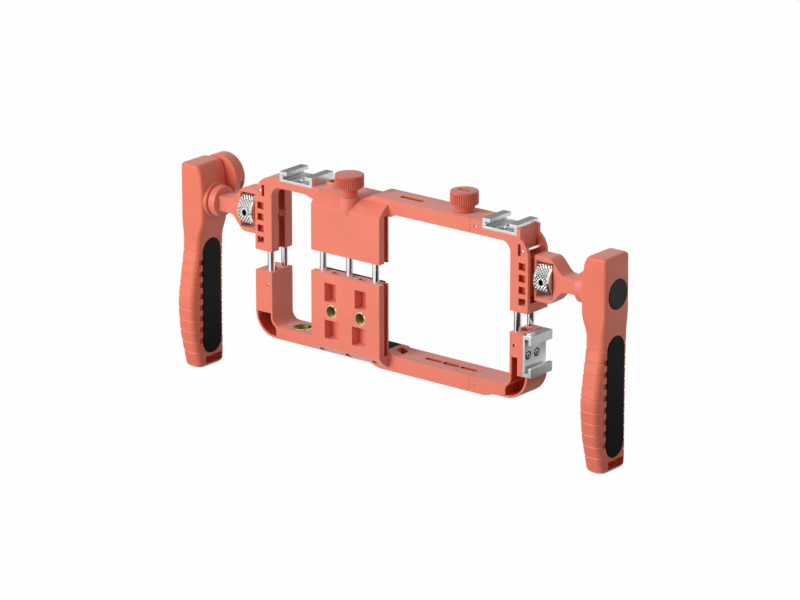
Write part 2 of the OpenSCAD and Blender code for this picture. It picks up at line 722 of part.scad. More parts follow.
module on_side_seat() {
  translate([side_seat_x, 0, side_shoe_z + shoe_w / 2]) rotate([0, 90, 0]) children();
}
module shoe_screw_holes_side() {
  on_side_seat() shoe_screws(fix_gap);
}
module side_shoe() color(silver) in_place() on_side_seat() shoe();
module side_shoe_screws() color(steel) in_place() on_side_seat() shoe_screws(0);
module left_top_shoe() color(silver) in_place() on_left_seat() shoe();
module right_top_shoe() color(silver) in_place() on_right_seat() shoe();
module top_shoe_screws() color(steel) in_place() {
  on_left_seat() shoe_screws(0);
  on_right_seat() shoe_screws(0);
}

// Upper half
module top_bar_2d() {
  polygon(concat([[-bar_in - small, bar_z], [seam_x, bar_z], [seam_x, frame_h]],
    soft([top_ramp - plate_left + top_ramp_l, frame_h], [top_ramp - plate_left, left_top]),
    [[-bar_in - small, left_top]]));
}
module upper_plate_2d() {
  polygon([[plate_back, upper_plate_z], [plate_y, upper_plate_z], [plate_y, upper_shoulder_z],
    [plate_y * upper_bend[0], upper_shoulder_z + shoulder_h * upper_bend[1]], [0, left_top],
    [plate_back, left_top]]);
}
module upper_frame() color(coral) in_place() difference() {
  union() {
    along_y(0, frame_d) top_bar_2d();
    side(-1) along_y(0, frame_d) upper_upright_2d();
    along_x(px0, px1) upper_plate_2d();
    difference() {
      pin_z(-plate_left, rod_y, upper_shoulder_z - root, left_top + boss_up, boss_d / 2);
      box([px0, plate_back, 0], [px1, frame_d, bar_z]);
    }
    pin_z(-top_insert_left, mid_y, left_top - 1, frame_h, top_boss_d / 2);
    jaw_rim(-1, bar_z, -1, upper_rim_out, upper_rim_slope);
    jaw_rim(1, bar_z, -1, rim_out, rim_slope);
    tongue(bar_z, frame_h, 0);
  }
  side(-1) upper_upright_cuts();
  box([-left_shoe_x - shoe_w / 2 - fix_gap, -1, seat_z],
    [-left_shoe_x + shoe_w / 2 + fix_gap, frame_d + 1, frame_h + 1]);
  on_left_seat() shoe_screws(fix_gap);
  each_guide_rod() pin_z(0, 0, upper_plate_z - 1, guide_top, rod_r + fix_gap);
  pin_z(-plate_left, rod_y, upper_plate_z - 1, left_top + boss_up + 1, rod_r + run_gap);
  ring_pocket();
  plate_groove(upper_plate_z - 1, upper_shoulder_z);
  pin_z(-top_insert_left, mid_y, frame_h - quarter_l, frame_h + 1, quarter_od / 2 + fix_gap);
  pin_z(acc_x, mid_y, bar_z - 1, frame_h + 1, acc_bush_d / 2 + fix_gap);
  translate([top_slot_x, mid_y - top_slot_w / 2, frame_h - bar_cut_d])
    cube([top_slot_l, top_slot_w, bar_cut_d + 1]);
  seam_dowel(upper_dowel_z, fix_gap);
}
module ring_pocket() {
  r = ring_d / 2 + face_gap;
  pin_z(-plate_left, rod_y, ring_z - face_gap, ring_z + ring_t + face_gap, r);
  box([-plate_left - r, rod_y, ring_z - face_gap],
    [-plate_left + r, plate_back + 1, ring_z + ring_t + face_gap]);
}
module upper_corner() color(coral) in_place() difference() {
  union() {
    box([seam_x + fix_gap, 0, bar_z], [bar_in + small, frame_d, seat_z]);
    box([seam_x + fix_gap, 0, bar_z], [right_shoe_x - shoe_w / 2 - fix_gap, frame_d, frame_h]);
    along_y(0, frame_d) upper_upright_2d();
    box([right_shoe_x + shoe_w / 2 + fix_gap, 0, seat_z - root],
      [right_shoe_x + shoe_w / 2 + end_wall, frame_d, frame_h]);
  }
  upper_upright_cuts();
  box([right_shoe_x - shoe_w / 2 - fix_gap, -1, seat_z],
    [right_shoe_x + shoe_w / 2 + fix_gap, frame_d + 1, frame_h + 1]);
  on_right_seat() shoe_screws(fix_gap);
  tongue(bar_z, frame_h, fix_gap);
  seam_dowel(upper_dowel_z, fix_gap);
}
module upper_dowel() color(steel) in_place() seam_dowel(upper_dowel_z, 0);
module strap_pins() color(silver) in_place() for (s = [-1, 1]) side(s)
  pin_y(xo - strap_pin_in, strap_pin_z, 0, frame_d, strap_pin_d / 2);
module guide_rods() color(steel) in_place() each_guide_rod() pin_z(0, 0, clamp_rod_z, guide_top, rod_r);
module upper_jaw_pad() color(black) in_place()
  box([px0 + rim_in + fix_gap, plate_back + plate_pad_t + face_gap, bar_z - pad_t],
    [px1 - rim_in - fix_gap, jaw_d, bar_z]);
module upper_plate_pad() color(black) in_place()
  box([px0 + rim_in, plate_back, upper_plate_z - face_gap],
    [px1 - rim_in, plate_back + plate_pad_t, bar_z - pad_t - face_gap]);
module top_insert() color(brass) in_place()
  ring_z_axis(-top_insert_left, mid_y, frame_h - quarter_l, frame_h, quarter_od / 2, quarter_bore / 2);
module accessory_bush() color(brass) in_place()
  ring_z_axis(acc_x, mid_y, bar_z, frame_h, acc_bush_d / 2, acc_screw_d / 2 + run_gap);
module stud_bushes() color(brass) in_place() for (s = [-1, 1]) side(s) difference() {
  pin_x(mid_y, axis_z, xi + leg_slot_d, floor_x, stud_bush_d / 2);
  pin_x(mid_y, axis_z, xi, floor_x + 1, stud_d / 2 + run_gap);
}

// Arms, right-hand side
arm_y0 = mid_y - arm_d / 2;
arm_y1 = mid_y + arm_d / 2;
// The slope from head to neck starts this far before the head's end
head_round = 4.5;
module arm_2d() {
  x0 = head_end - head_round;
  x1 = head_end + neck_slope;
  translate([0, axis_z]) polygon(concat([[head_x, -head_h / 2]],
    soft([x0, -head_h / 2], [x1, -neck_h / 2], 12),
    [[collar_x + 1, -neck_h / 2], [collar_x + 1, neck_h / 2]],
    soft([x1, neck_h / 2], [x0, head_h / 2], 12),
    [[head_x, head_h / 2]]));
}
module arm() difference() {
  union() {
    along_y(arm_y0, arm_y1) arm_2d();
    box([floor_x + face_gap, flange_t + face_gap, axis_z - head_h / 2 + foot_short],
      [head_x + head_wall, frame_d - flange_t - face_gap, axis_z + head_h / 2 - foot_short]);
    pin_x(mid_y, axis_z, collar_x, collar_x + collar_l, collar_d / 2);
  }
  box([wheel_x - wheel_gap, -1, axis_z - head_window_h / 2],
    [wheel_x + wheel_w + wheel_gap, frame_d + 1, axis_z + head_window_h / 2]);
  pin_x(mid_y, axis_z, floor_x - 1, wheel_x, stud_d / 2 + run_gap);
  pin_x(mid_y, axis_z, collar_x + collar_l - bolt_in_arm, collar_x + collar_l + 1, bolt_d / 2 + fix_gap);
}
module left_arm() color(coral) in_place() side(-1) arm();
module right_arm() color(coral) in_place() arm();

// Thumbwheel with broken edges; its stud ends below the outer face
wheel_edge = 0.8;
wheel_crown = 2;
module thumbwheel() {
  r = wheel_d / 2;
  edge = wheel_edge;
  translate([wheel_x, mid_y, axis_z]) rotate([0, 90, 0]) difference() {
    rotate_extrude() polygon([[0, 0], [r - edge, 0], [r, edge], [r, wheel_w - edge],
      [r - edge, wheel_w], [0, wheel_w]]);
    pin_z(0, 0, -1, wheel_w - wheel_crown, stud_d / 2 + fix_gap);
  }
}
module stud() {
  pin_x(mid_y, axis_z, xi + leg_slot_d, wheel_x + wheel_w - wheel_crown - fix_gap, stud_d / 2);
}
module left_thumbwheel() color(silver) in_place() side(-1) thumbwheel();
module left_stud() color(steel) in_place() side(-1) stud();
module right_thumbwheel() color(silver) in_place() thumbwheel();
module right_stud() color(steel) in_place() stud();

// Swivels, right-hand side
cap_x = grip_x1 - cap_t;
bolt_seat = cap_x - bolt_head_h - washer_t - 2 * face_gap;
washer_x = bolt_seat + face_gap / 3;
head_seat = washer_x + washer_t;
module swivel_bolt() {
  pin_x(mid_y, axis_z, collar_x + collar_l - bolt_in_arm, head_seat, bolt_d / 2);
  pin_x(mid_y, axis_z, head_seat, head_seat + bolt_head_h, bolt_head_d / 2);
}
module swivel_bolts() color(steel) in_place() for (s = [-1, 1]) side(s) swivel_bolt();
module swivel_washers() color(black) in_place() for (s = [-1, 1]) side(s) difference() {
  pin_x(mid_y, axis_z, washer_x, head_seat, bolt_head_d / 2);
  pin_x(mid_y, axis_z, bolt_seat - 1, cap_x, bolt_d / 2 + fix_gap);
}

// Clamp knob, screw and ring
knob_z = left_top + boss_up + face_gap;
flute_r = 0.4;
// Distance from the head's rim to the flutes' axes, and the plain rim left above the flutes
flute_out = 0.15;
flute_end = 1.4;
flute_fn = 12;
// Broken edges at a head's foot and top, and the closed end above a knob's screw
foot_edge = 0.6;
acc_foot = 2.2;
top_edge = 0.8;
crown = 3;
module fluted(r, h, n, foot) difference() {
  rotate_extrude() polygon([[0, 0], [r - foot, 0], [r, foot], [r, h - top_edge],
    [r - top_edge, h], [0, h]]);
  for (i = [0:n - 1]) rotate(i * 360 / n) translate([r + flute_out, 0, -1])
    cylinder(r = flute_r, h = h + 1 - flute_end, $fn = flute_fn);
}
module clamp_knob() color(red_coral) in_place() translate([-plate_left, rod_y, knob_z]) difference() {
  union() {
    cylinder(r = boss_d / 2, h = knob_neck + small);
    translate([0, 0, knob_neck]) fluted(knob_d / 2, knob_h, knob_flutes, foot_edge);
  }
  pin_z(0, 0, -1, knob_neck + knob_h - crown, rod_r + fix_gap);
}
module clamp_screw() color(steel) in_place()
  pin_z(-plate_left, rod_y, clamp_rod_z, knob_z + knob_neck + knob_h - crown - fix_gap, rod_r);
module retaining_ring() color(steel) in_place()
  ring_z_axis(-plate_left, rod_y, ring_z, ring_z + ring_t, ring_d / 2, rod_r + fix_gap);

// Accessory screw
acc_z = frame_h + face_gap;
coin_w = 2.2;
coin_l = 7.7;
coin_d = 1.4;
module accessory_knob() color(red_coral) in_place() translate([acc_x, mid_y, acc_z]) difference() {
  union() {
    cylinder(r1 = acc_base_d / 2 - foot_edge, r2 = acc_base_d / 2, h = acc_base_h + small);
    translate([0, 0, acc_base_h]) fluted(acc_d / 2, acc_h, acc_flutes, acc_foot);
  }
  pin_z(0, 0, -1, acc_base_h + acc_h - crown, acc_screw_d / 2 + fix_gap);
  translate([-coin_l / 2, -coin_w / 2, acc_base_h + acc_h - coin_d]) cube([coin_l, coin_w, coin_d + 1]);
}
module accessory_screw() color(steel) in_place()
  pin_z(acc_x, mid_y, bar_z, acc_z + acc_base_h + acc_h - crown - fix_gap, acc_screw_d / 2);

// Grips, right-hand side. Rows: height below the axis as a share of the drop (above: of the rise),
// front edge and rear edge off the plain depth, inner and outer edge off the plain thickness, corner
top_round = 1.8;
foot_round = 2.6;
stations = [
  [grip_z0, 0.4, 0, 3.6, -0.7, 3.2],
  [axis_z - 0.92 * grip_down, -1.3, 0.4, 3.6, -0.7, 3.2],
  [axis_z - 0.76 * grip_down, -4.7, 0.3, 3.5, -0.7, 3.2],
  [axis_z - 0.61 * grip_down, -5.7, 0.1, 3.3, -0.6, 3.2],
  [axis_z - 0.45 * grip_down, -3.6, 0.1, 3.2, -0.6, 3.2],
  [axis_z - 0.24 * grip_down, -0.2, 0.3, 3, -0.6, 2.8],
  [axis_z - 0.1 * grip_down, 0, 0, 0, 0, 1.8],
  [axis_z + 0.3 * grip_up, 0, -0.1, 0.2, 0, 1.8],
  [axis_z + 0.75 * grip_up, 0, -0.4, 1.2, 0, 1.8],
  [grip_z1, 0, -0.4, 3.2, 0, 1.8]];
// Smooth station at height z, with slopes that never overshoot
function chord(i) = (stations[i + 1] - stations[i]) / (stations[i + 1][0] - stations[i][0]);
function blend(p, q) = p * q <= 0 ? 0 : 2 * p * q / (p + q);
function slope(i) = (i == 0 || i == len(stations) - 1) ? 0 * stations[0]
  : let (p = chord(i - 1), q = chord(i)) [for (j = [0:len(p) - 1]) blend(p[j], q[j])];
function station(z, i = 0) = (i >= len(stations) - 2 || z <= stations[i + 1][0])
  ? let (a = stations[i], b = stations[i + 1], h = b[0] - a[0], t = max(0, min(1, (z - a[0]) / h)))
    a + (b - a) * ease(t) + h * t * (1 - t) * ((1 - t) * slope(i) - t * slope(i + 1))
  : station(z, i + 1);
// Inset from the rounded ends, the ribs and their grooves
rib_z0 = grip_z0 + rib_up;
function rib_inset(z) = let (u = (z - rib_z0) / rib_pitch)
  (u < -0.01 || u > rib_n + 0.01) ? 0 : rib_d * (1 - sqrt(max(0, 1 - pow(2 * abs(u - round(u)) - 1, 2))));
function end_inset(z, r) = z >= r ? 0 : r - sqrt(max(0, r * r - (r - z) * (r - z)));
function inset(z) = rib_inset(z) + end_inset(z - grip_z0, foot_round) + end_inset(grip_z1 - z, top_round);
corner_n = 5;
corner_ease = 0.2;
function ring(z) = let (s = station(z), e = inset(z), c = s[5] + corner_ease * e,
    x0 = grip_x0 + s[3] + e, x1 = grip_x1 + s[4] - e,
    y0 = grip_y0 + s[1] + e, y1 = grip_y1 + s[2] - e)
  [for (q = [0:3]) let (cx = (q == 0 || q == 3) ? x1 - c : x0 + c, cy = q < 2 ? y1 - c : y0 + c)
    for (i = [0:corner_n - 1]) let (a = 90 * q + 90 * i / (corner_n - 1))
      [cx + c * cos(a), cy + c * sin(a), z]];
ring_n = 4 * corner_n;
plain_step = 4;
levels = concat([for (d = [0, 0.15, 0.4, 1]) grip_z0 + d * foot_round],
  [for (k = [0:4 * rib_n]) rib_z0 + k * rib_pitch / 4],
  [for (z = [rib_z0 + rib_n * rib_pitch + plain_step / 2:plain_step:grip_z1 - plain_step]) z],
  [for (d = [1, 0.4, 0.15, 0]) grip_z1 - d * top_round]);
module grip_body() {
  n = len(levels);
  points = [for (z = levels) each ring(z)];
  sides = [for (k = [0:n - 2]) for (i = [0:ring_n - 1]) let (j = (i + 1) % ring_n, a = k * ring_n)
    each [[a + i, a + ring_n + j, a + j], [a + i, a + ring_n + i, a + ring_n + j]]];
  lid = (n - 1) * ring_n;
  polyhedron(points, concat(sides, [[for (i = [0:ring_n - 1]) i]],
    [[for (i = [0:ring_n - 1]) lid + ring_n - 1 - i]]));
}
inlay_y = mid_y - inlay_front;
module inlay_2d(gap) {
  r = inlay_w / 2 - gap;
  z0 = grip_z0 + inlay_up + inlay_w / 2;
  z1 = grip_z0 + inlay_up + inlay_h - inlay_w / 2;
  translate([inlay_y, z0]) circle(r);
  translate([inlay_y, z1]) circle(r);
  translate([inlay_y - r, z0]) square([2 * r, z1 - z0]);
}
// Faces that the inlays sit in, at the height of the grip's belly
belly = 3;
inner_face = grip_x0 + stations[belly][3];
outer_face = grip_x1 + stations[belly][4];
module cap_hole() pin_x(mid_y, axis_z, cap_x, grip_x1 + 1, cap_d / 2 + fix_gap);
module grip() difference() {
  union() {
    grip_body();
    pin_x(mid_y, axis_z, grip_x0 - ring_face_h, grip_x0 + 1, ring_face_d / 2);
  }
  pin_x(mid_y, axis_z, grip_x0 - ring_face_h - 1, grip_x1, bolt_d / 2 + run_gap);
  pin_x(mid_y, axis_z, bolt_seat, grip_x1, bolt_head_d / 2 + face_gap);
  cap_hole();
  along_x(outer_face - inlay_t, grip_x1 + 1) inlay_2d(0);
  along_x(inner_face - root, inner_face + inlay_t) inlay_2d(0);
  box([grip_x0 - 1, mid_y + strap_back - strap_w / 2, grip_z0 + strap_up],
    [grip_x1 + 1, mid_y + strap_back + strap_w / 2, grip_z0 + strap_up + strap_h]);
}
module outer_inlay() along_x(outer_face - inlay_t, outer_face + inlay_proud) inlay_2d(fix_gap);
module inner_inlay() along_x(inner_face - inlay_proud, inner_face + inlay_t) inlay_2d(fix_gap);
module cap() pin_x(mid_y, axis_z, cap_x, grip_x1 + inlay_proud, cap_d / 2);

// The left grip carries a round pod that holds the shutter remote, open to the rear
module pod() {
  intersection() {
    pin_y(pod_x, pod_z, pod_y - pod_root, pod_back, pod_d / 2);
    box([pod_x - pod_d, 0, pod_z - pod_d], [grip_x1, pod_back + 1, pod_z + pod_d]);
  }
}
module left_grip() color(coral) in_place() side(-1) difference() {
  union() {
    grip();
    difference() {
      pod();
      pin_x(mid_y, axis_z, 0, grip_x0 - small, collar_d / 2 + pod_free);
      box([0, 0, 0], [grip_x0, pod_y, pod_z + pod_d]);
      pin_x(mid_y, axis_z, 0, grip_x1 + 1, bolt_head_d / 2 + pod_free);
    }
  }
  cap_hole();
  pin_y(pod_x, pod_z, pod_back - puck_l, pod_back + 1, puck_r + fix_gap);
  box([pod_x - pod_d, pod_back - pod_slot_y[0], pod_z - pod_slot_z[0]],
    [pod_x, pod_back - pod_slot_y[1], pod_z - pod_slot_z[1]]);
}
module shutter_remote() color(black) in_place() side(-1) difference() {
  pin_y(pod_x, pod_z, pod_back - puck_l + fix_gap, puck_back, puck_r);
  pin_y(pod_x, pod_z, puck_back - button_recess, puck_back + 1, button_d / 2 + run_gap);
}
module shutter_button() color(button_grey) in_place() side(-1)
  pin_y(pod_x, pod_z, puck_back - button_recess + button_travel + face_gap,
    puck_back + button_proud, button_d / 2);

module left_outer_inlay() color(black) in_place() side(-1) outer_inlay();
module left_inner_inlay() color(black) in_place() side(-1) inner_inlay();
module left_cap() color(black) in_place() side(-1) cap();
module right_grip() color(coral) in_place() grip();
module right_outer_inlay() color(black) in_place() outer_inlay();
module right_inner_inlay() color(black) in_place() inner_inlay();
module right_cap() color(black) in_place() cap();

lower_frame();
lower_corner();
lower_dowel();
side_rods();
rod_pins();
plate_inserts();
base_insert();
clamp_nut();
side_shoe();
side_shoe_screws();
lower_jaw_pad();
lower_plate_pad();
upper_frame();
upper_corner();
upper_dowel();
strap_pins();
guide_rods();
left_top_shoe();
right_top_shoe();
top_shoe_screws();
upper_jaw_pad();
upper_plate_pad();
top_insert();
accessory_bush();
stud_bushes();
left_arm();
right_arm();
swivel_bolts();
swivel_washers();
clamp_knob();
clamp_screw();
retaining_ring();
accessory_knob();
accessory_screw();
left_thumbwheel();
left_stud();
right_thumbwheel();
right_stud();
left_grip();
left_outer_inlay();
left_inner_inlay();
left_cap();
shutter_remote();
shutter_button();
right_grip();
right_outer_inlay();
right_inner_inlay();
right_cap();
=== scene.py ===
import bpy
import bmesh
import json
import math
from mathutils import Matrix, Vector


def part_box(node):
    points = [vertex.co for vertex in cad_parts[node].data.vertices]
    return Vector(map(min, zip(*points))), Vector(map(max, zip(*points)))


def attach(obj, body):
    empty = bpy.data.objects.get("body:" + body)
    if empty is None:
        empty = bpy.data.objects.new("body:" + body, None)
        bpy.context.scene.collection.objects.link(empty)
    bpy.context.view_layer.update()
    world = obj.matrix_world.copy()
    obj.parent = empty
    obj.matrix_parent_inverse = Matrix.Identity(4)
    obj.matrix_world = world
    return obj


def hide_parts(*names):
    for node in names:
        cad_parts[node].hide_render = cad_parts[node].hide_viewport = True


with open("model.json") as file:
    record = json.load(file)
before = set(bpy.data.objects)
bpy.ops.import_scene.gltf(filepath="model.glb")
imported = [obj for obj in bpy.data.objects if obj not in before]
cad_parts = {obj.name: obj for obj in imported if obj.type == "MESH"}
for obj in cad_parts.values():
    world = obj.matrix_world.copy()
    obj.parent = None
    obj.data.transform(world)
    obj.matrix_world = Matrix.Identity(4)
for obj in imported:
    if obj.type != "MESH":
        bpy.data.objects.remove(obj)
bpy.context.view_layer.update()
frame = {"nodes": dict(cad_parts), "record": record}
nodes = frame["nodes"]
bodies = frame["record"]["behaviour"]["bodies"]
bodyOf = {node: body for body, members in bodies.items() for node in members}
slotOf = {part["node"]: part["material_slot"] for part in frame["record"]["subparts"]}
print("frame loaded:", len(nodes), "nodes")

# the photograph's camera: a long lens, from the front right and a little above
cameraSettings = {"azimuth": 38.68, "elevation": 17.87, "distance": 2.485, "lens": 208.0, "sensor": 36.0,
                  "clipEnd": 20.0, "target": (0.0012176, -0.00005, 0.065367)}


def setCamera(settings):
    turn, lift = math.radians(settings["azimuth"]), math.radians(settings["elevation"])
    away = Vector((math.sin(turn) * math.cos(lift), -math.cos(turn) * math.cos(lift), math.sin(lift)))
    data = bpy.data.cameras.new("photoCamera")
    data.sensor_width = settings["sensor"]
    data.lens = settings["lens"]
    data.clip_end = settings["clipEnd"]
    camera = bpy.data.objects.new("photoCamera", data)
    camera.location = Vector(settings["target"]) + away * settings["distance"]
    camera.rotation_euler = (math.pi / 2 - lift, 0, turn)
    bpy.context.scene.collection.objects.link(camera)
    bpy.context.scene.camera = camera


setCamera(cameraSettings)
bpy.context.scene.view_settings.view_transform = "Standard"


# shader helpers
def addNode(tree, kind, inputs=None, **settings):
    node = tree.nodes.new(kind)
    for name, value in settings.items():
        setattr(node, name, value)
    for name, value in (inputs or {}).items():
        node.inputs[name].default_value = value
    return node


def newMaterial(name, **surface):
    material = bpy.data.materials.new(name)
    material.use_nodes = True
    tree = material.node_tree
    shader = tree.nodes["Principled BSDF"]
    for socket, value in surface.items():
        shader.inputs[socket].default_value = value
    return material, tree, shader


def shaderGroup(name, inputs, outputs):
    tree = bpy.data.node_groups.new(name, "ShaderNodeTree")
    for socket, kind, value in inputs:
        made = tree.interface.new_socket(socket, in_out="INPUT", socket_type=kind)
        if value is not None:
            made.default_value = value
    for socket, kind in outputs:
        tree.interface.new_socket(socket, in_out="OUTPUT", socket_type=kind)
    return tree, tree.nodes.new("NodeGroupInput"), tree.nodes.new("NodeGroupOutput")


# fine moulding grain and slow drift of tone, used by every moulded piece
def buildGrainGroup():
    tree, given, out = shaderGroup("mouldGrain", [
        ("Vector", "NodeSocketVector", None),
        ("Grain Scale", "NodeSocketFloat", 2600.0),
        ("Drift Scale", "NodeSocketFloat", 45.0)],
        [("Height", "NodeSocketFloat"), ("Drift", "NodeSocketFloat")])
    grain = addNode(tree, "ShaderNodeTexNoise", {"Detail": 3.0, "Roughness": 0.6})
    drift = addNode(tree, "ShaderNodeTexNoise", {"Detail": 4.0, "Roughness": 0.55})
    for noise, socket in ((grain, "Grain Scale"), (drift, "Drift Scale")):
        tree.links.new(given.outputs["Vector"], noise.inputs["Vector"])
        tree.links.new(given.outputs[socket], noise.inputs["Scale"])
    tree.links.new(grain.outputs["Fac"], out.inputs["Height"])
    tree.links.new(drift.outputs["Fac"], out.inputs["Drift"])
    return tree


# drawn or turned lines: noise stretched along the direction of the work
def buildLineGroup():
    tree, given, out = shaderGroup("toolLines", [
        ("Vector", "NodeSocketVector", None),
        ("Stretch", "NodeSocketVector", (1.0, 1.0, 1.0)),
        ("Scale", "NodeSocketFloat", 3000.0)],
        [("Height", "NodeSocketFloat"), ("Patch", "NodeSocketFloat")])
    stretch = addNode(tree, "ShaderNodeVectorMath", operation="MULTIPLY")
    tree.links.new(given.outputs["Vector"], stretch.inputs[0])
    tree.links.new(given.outputs["Stretch"], stretch.inputs[1])
    lines = addNode(tree, "ShaderNodeTexNoise", {"Detail": 2.0, "Roughness": 0.5})
    tree.links.new(stretch.outputs["Vector"], lines.inputs["Vector"])
    tree.links.new(given.outputs["Scale"], lines.inputs["Scale"])
    patch = addNode(tree, "ShaderNodeTexNoise", {"Scale": 60.0, "Detail": 3.0})
    tree.links.new(given.outputs["Vector"], patch.inputs["Vector"])
    tree.links.new(lines.outputs["Fac"], out.inputs["Height"])
    tree.links.new(patch.outputs["Fac"], out.inputs["Patch"])
    return tree


grainGroup = buildGrainGroup()
lineGroup = buildLineGroup()


def useGroup(tree, group, **inputs):
    node = addNode(tree, "ShaderNodeGroup", node_tree=group)
    coordinates = addNode(tree, "ShaderNodeTexCoord")
    tree.links.new(coordinates.outputs["Object"], node.inputs["Vector"])
    for name, value in inputs.items():
        node.inputs[name].default_value = value
    return node


noiseSpan = (0.3, 0.7)                            # where most of a noise lies


def spread(tree, source, low, high):
    node = addNode(tree, "ShaderNodeMapRange", {"From Min": noiseSpan[0], "From Max": noiseSpan[1],
                                                "To Min": low, "To Max": high})
    tree.links.new(source, node.inputs["Value"])
    return node.outputs["Result"]


def tint(tree, source, dark, light):
    ramp = addNode(tree, "ShaderNodeValToRGB")
    for stop, position, colour in zip(ramp.color_ramp.elements, noiseSpan, (dark, light)):
        stop.position = position
        stop.color = (*colour, 1.0)
    tree.links.new(source, ramp.inputs["Fac"])
    return ramp.outputs["Color"]


def bump(tree, shader, height, strength, distance):
    node = addNode(tree, "ShaderNodeBump", {"Strength": strength, "Distance": distance})
    tree.links.new(height, node.inputs["Height"])
    tree.links.new(node.outputs["Normal"], shader.inputs["Normal"])


bumpDepth = {"grain": 0.0001, "lines": 0.00005}   # in metres


def mouldedMaterial(name, s):
    material, tree, shader = newMaterial(name, **{"IOR": s["ior"], "Specular IOR Level": s["shine"],
                                                  "Sheen Weight": s.get("sheen", 0.0)})
    grain = useGroup(tree, grainGroup, **{"Grain Scale": s["grain"], "Drift Scale": s["drift"]})
    tree.links.new(tint(tree, grain.outputs["Drift"], s["dark"], s["light"]), shader.inputs["Base Color"])
    tree.links.new(spread(tree, grain.outputs["Drift"], *s["rough"]), shader.inputs["Roughness"])
    bump(tree, shader, grain.outputs["Height"], s["bump"], bumpDepth["grain"])
    return material


def metalMaterial(name, s):
    material, tree, shader = newMaterial(name, Metallic=1.0)
    lines = useGroup(tree, lineGroup, **{"Stretch": s["stretch"], "Scale": s["scale"]})
    tree.links.new(tint(tree, lines.outputs["Patch"], s["dark"], s["light"]), shader.inputs["Base Color"])
    tree.links.new(spread(tree, lines.outputs["Height"], *s["rough"]), shader.inputs["Roughness"])
    bump(tree, shader, lines.outputs["Height"], s["bump"], bumpDepth["lines"])
    return material


finishes = {
    "coral_plastic": mouldedMaterial("coralPlastic", {
        "dark": (0.79, 0.180, 0.112), "light": (0.84, 0.200, 0.128), "rough": (0.40, 0.50),
        "ior": 1.46, "shine": 0.5, "grain": 2600.0, "drift": 45.0, "bump": 0.12, "sheen": 0.45}),
    "knob_plastic": mouldedMaterial("knobPlastic", {
        "dark": (0.66, 0.105, 0.055), "light": (0.72, 0.125, 0.068), "rough": (0.38, 0.48),
        "ior": 1.46, "shine": 0.5, "grain": 2800.0, "drift": 70.0, "bump": 0.12, "sheen": 0.4}),
    "pad_rubber": mouldedMaterial("padRubber", {
        "dark": (0.005, 0.005, 0.006), "light": (0.009, 0.009, 0.010), "rough": (0.62, 0.80),
        "ior": 1.45, "shine": 0.2, "grain": 1900.0, "drift": 60.0, "bump": 0.35}),
    "black_plastic": mouldedMaterial("blackPlastic", {
        "dark": (0.006, 0.006, 0.007), "light": (0.011, 0.011, 0.012), "rough": (0.42, 0.55),
        "ior": 1.47, "shine": 0.2, "grain": 2600.0, "drift": 60.0, "bump": 0.15}),
    "polished_steel": metalMaterial("polishedSteel", {
        "dark": (0.78, 0.79, 0.80), "light": (0.86, 0.87, 0.88), "rough": (0.06, 0.12),
        "stretch": (1.0, 1.0, 0.03), "scale": 4000.0, "bump": 0.03}),
    "pin_steel": metalMaterial("pinSteel", {
        "dark": (0.90, 0.90, 0.90), "light": (0.96, 0.96, 0.95), "rough": (0.26, 0.36),
        "stretch": (1.0, 1.0, 1.0), "scale": 3000.0, "bump": 0.05}),
    "shoe_aluminium": metalMaterial("shoeAluminium", {
        "dark": (0.62, 0.63, 0.63), "light": (0.67, 0.68, 0.68), "rough": (0.28, 0.34),
        "stretch": (1.0, 0.05, 1.0), "scale": 3500.0, "bump": 0.006}),
    "wheel_steel": metalMaterial("wheelSteel", {
        "dark": (0.74, 0.74, 0.73), "light": (0.84, 0.84, 0.83), "rough": (0.16, 0.28),
        "stretch": (1.0, 0.2, 0.2), "scale": 3500.0, "bump": 0.05}),
    "insert_brass": metalMaterial("insertBrass", {
        "dark": (0.88, 0.70, 0.40), "light": (0.96, 0.82, 0.54), "rough": (0.18, 0.30),
        "stretch": (1.0, 1.0, 1.0), "scale": 3000.0, "bump": 0.06}),
}
# finishes of details: painted shade for the inside of recesses, the grips' plastic, and painted shade for
# threads and sockets
# painted shade: a darker coral that stands for the shade inside recesses
paintedShadePlastic = mouldedMaterial("paintedShadePlastic", {
    "dark": (0.58, 0.075, 0.032), "light": (0.64, 0.092, 0.042), "rough": (0.50, 0.60),
    "ior": 1.46, "shine": 0.2, "grain": 2600.0, "drift": 45.0, "bump": 0.12})
gripPlastic = mouldedMaterial("gripPlastic", {
    "dark": (0.78, 0.160, 0.088), "light": (0.83, 0.178, 0.100), "rough": (0.42, 0.54),
    "ior": 1.46, "shine": 0.5, "grain": 2400.0, "drift": 40.0, "bump": 0.14, "sheen": 0.4})
# painted shade: a dark brass that stands for the shadow on the threads inside the inserts
shadedThreadBrass = metalMaterial("shadedThreadBrass", {
    "dark": (0.13, 0.11, 0.03), "light": (0.30, 0.26, 0.09), "rough": (0.25, 0.40),
    "stretch": (1.0, 1.0, 1.0), "scale": 2500.0, "bump": 0.05})
# painted shade: a near-black steel for the insides of holes and sockets and the screw heads' rims
paintedShadeSteel = metalMaterial("paintedShadeSteel", {
    "dark": (0.05, 0.05, 0.05), "light": (0.09, 0.09, 0.09), "rough": (0.30, 0.45),
    "stretch": (1.0, 1.0, 1.0), "scale": 2500.0, "bump": 0.05})


# knurled steel with painted shade: the valleys painted dark and the points bright, by the distance from the
# axis of the wheels
knurlShadeFinish = {"dark": (0.07, 0.07, 0.075), "light": (0.94, 0.94, 0.93), "rough": (0.18, 0.30),
               "stretch": (1.0, 0.2, 0.2), "scale": 3500.0, "span": (-0.2, 0.6)}


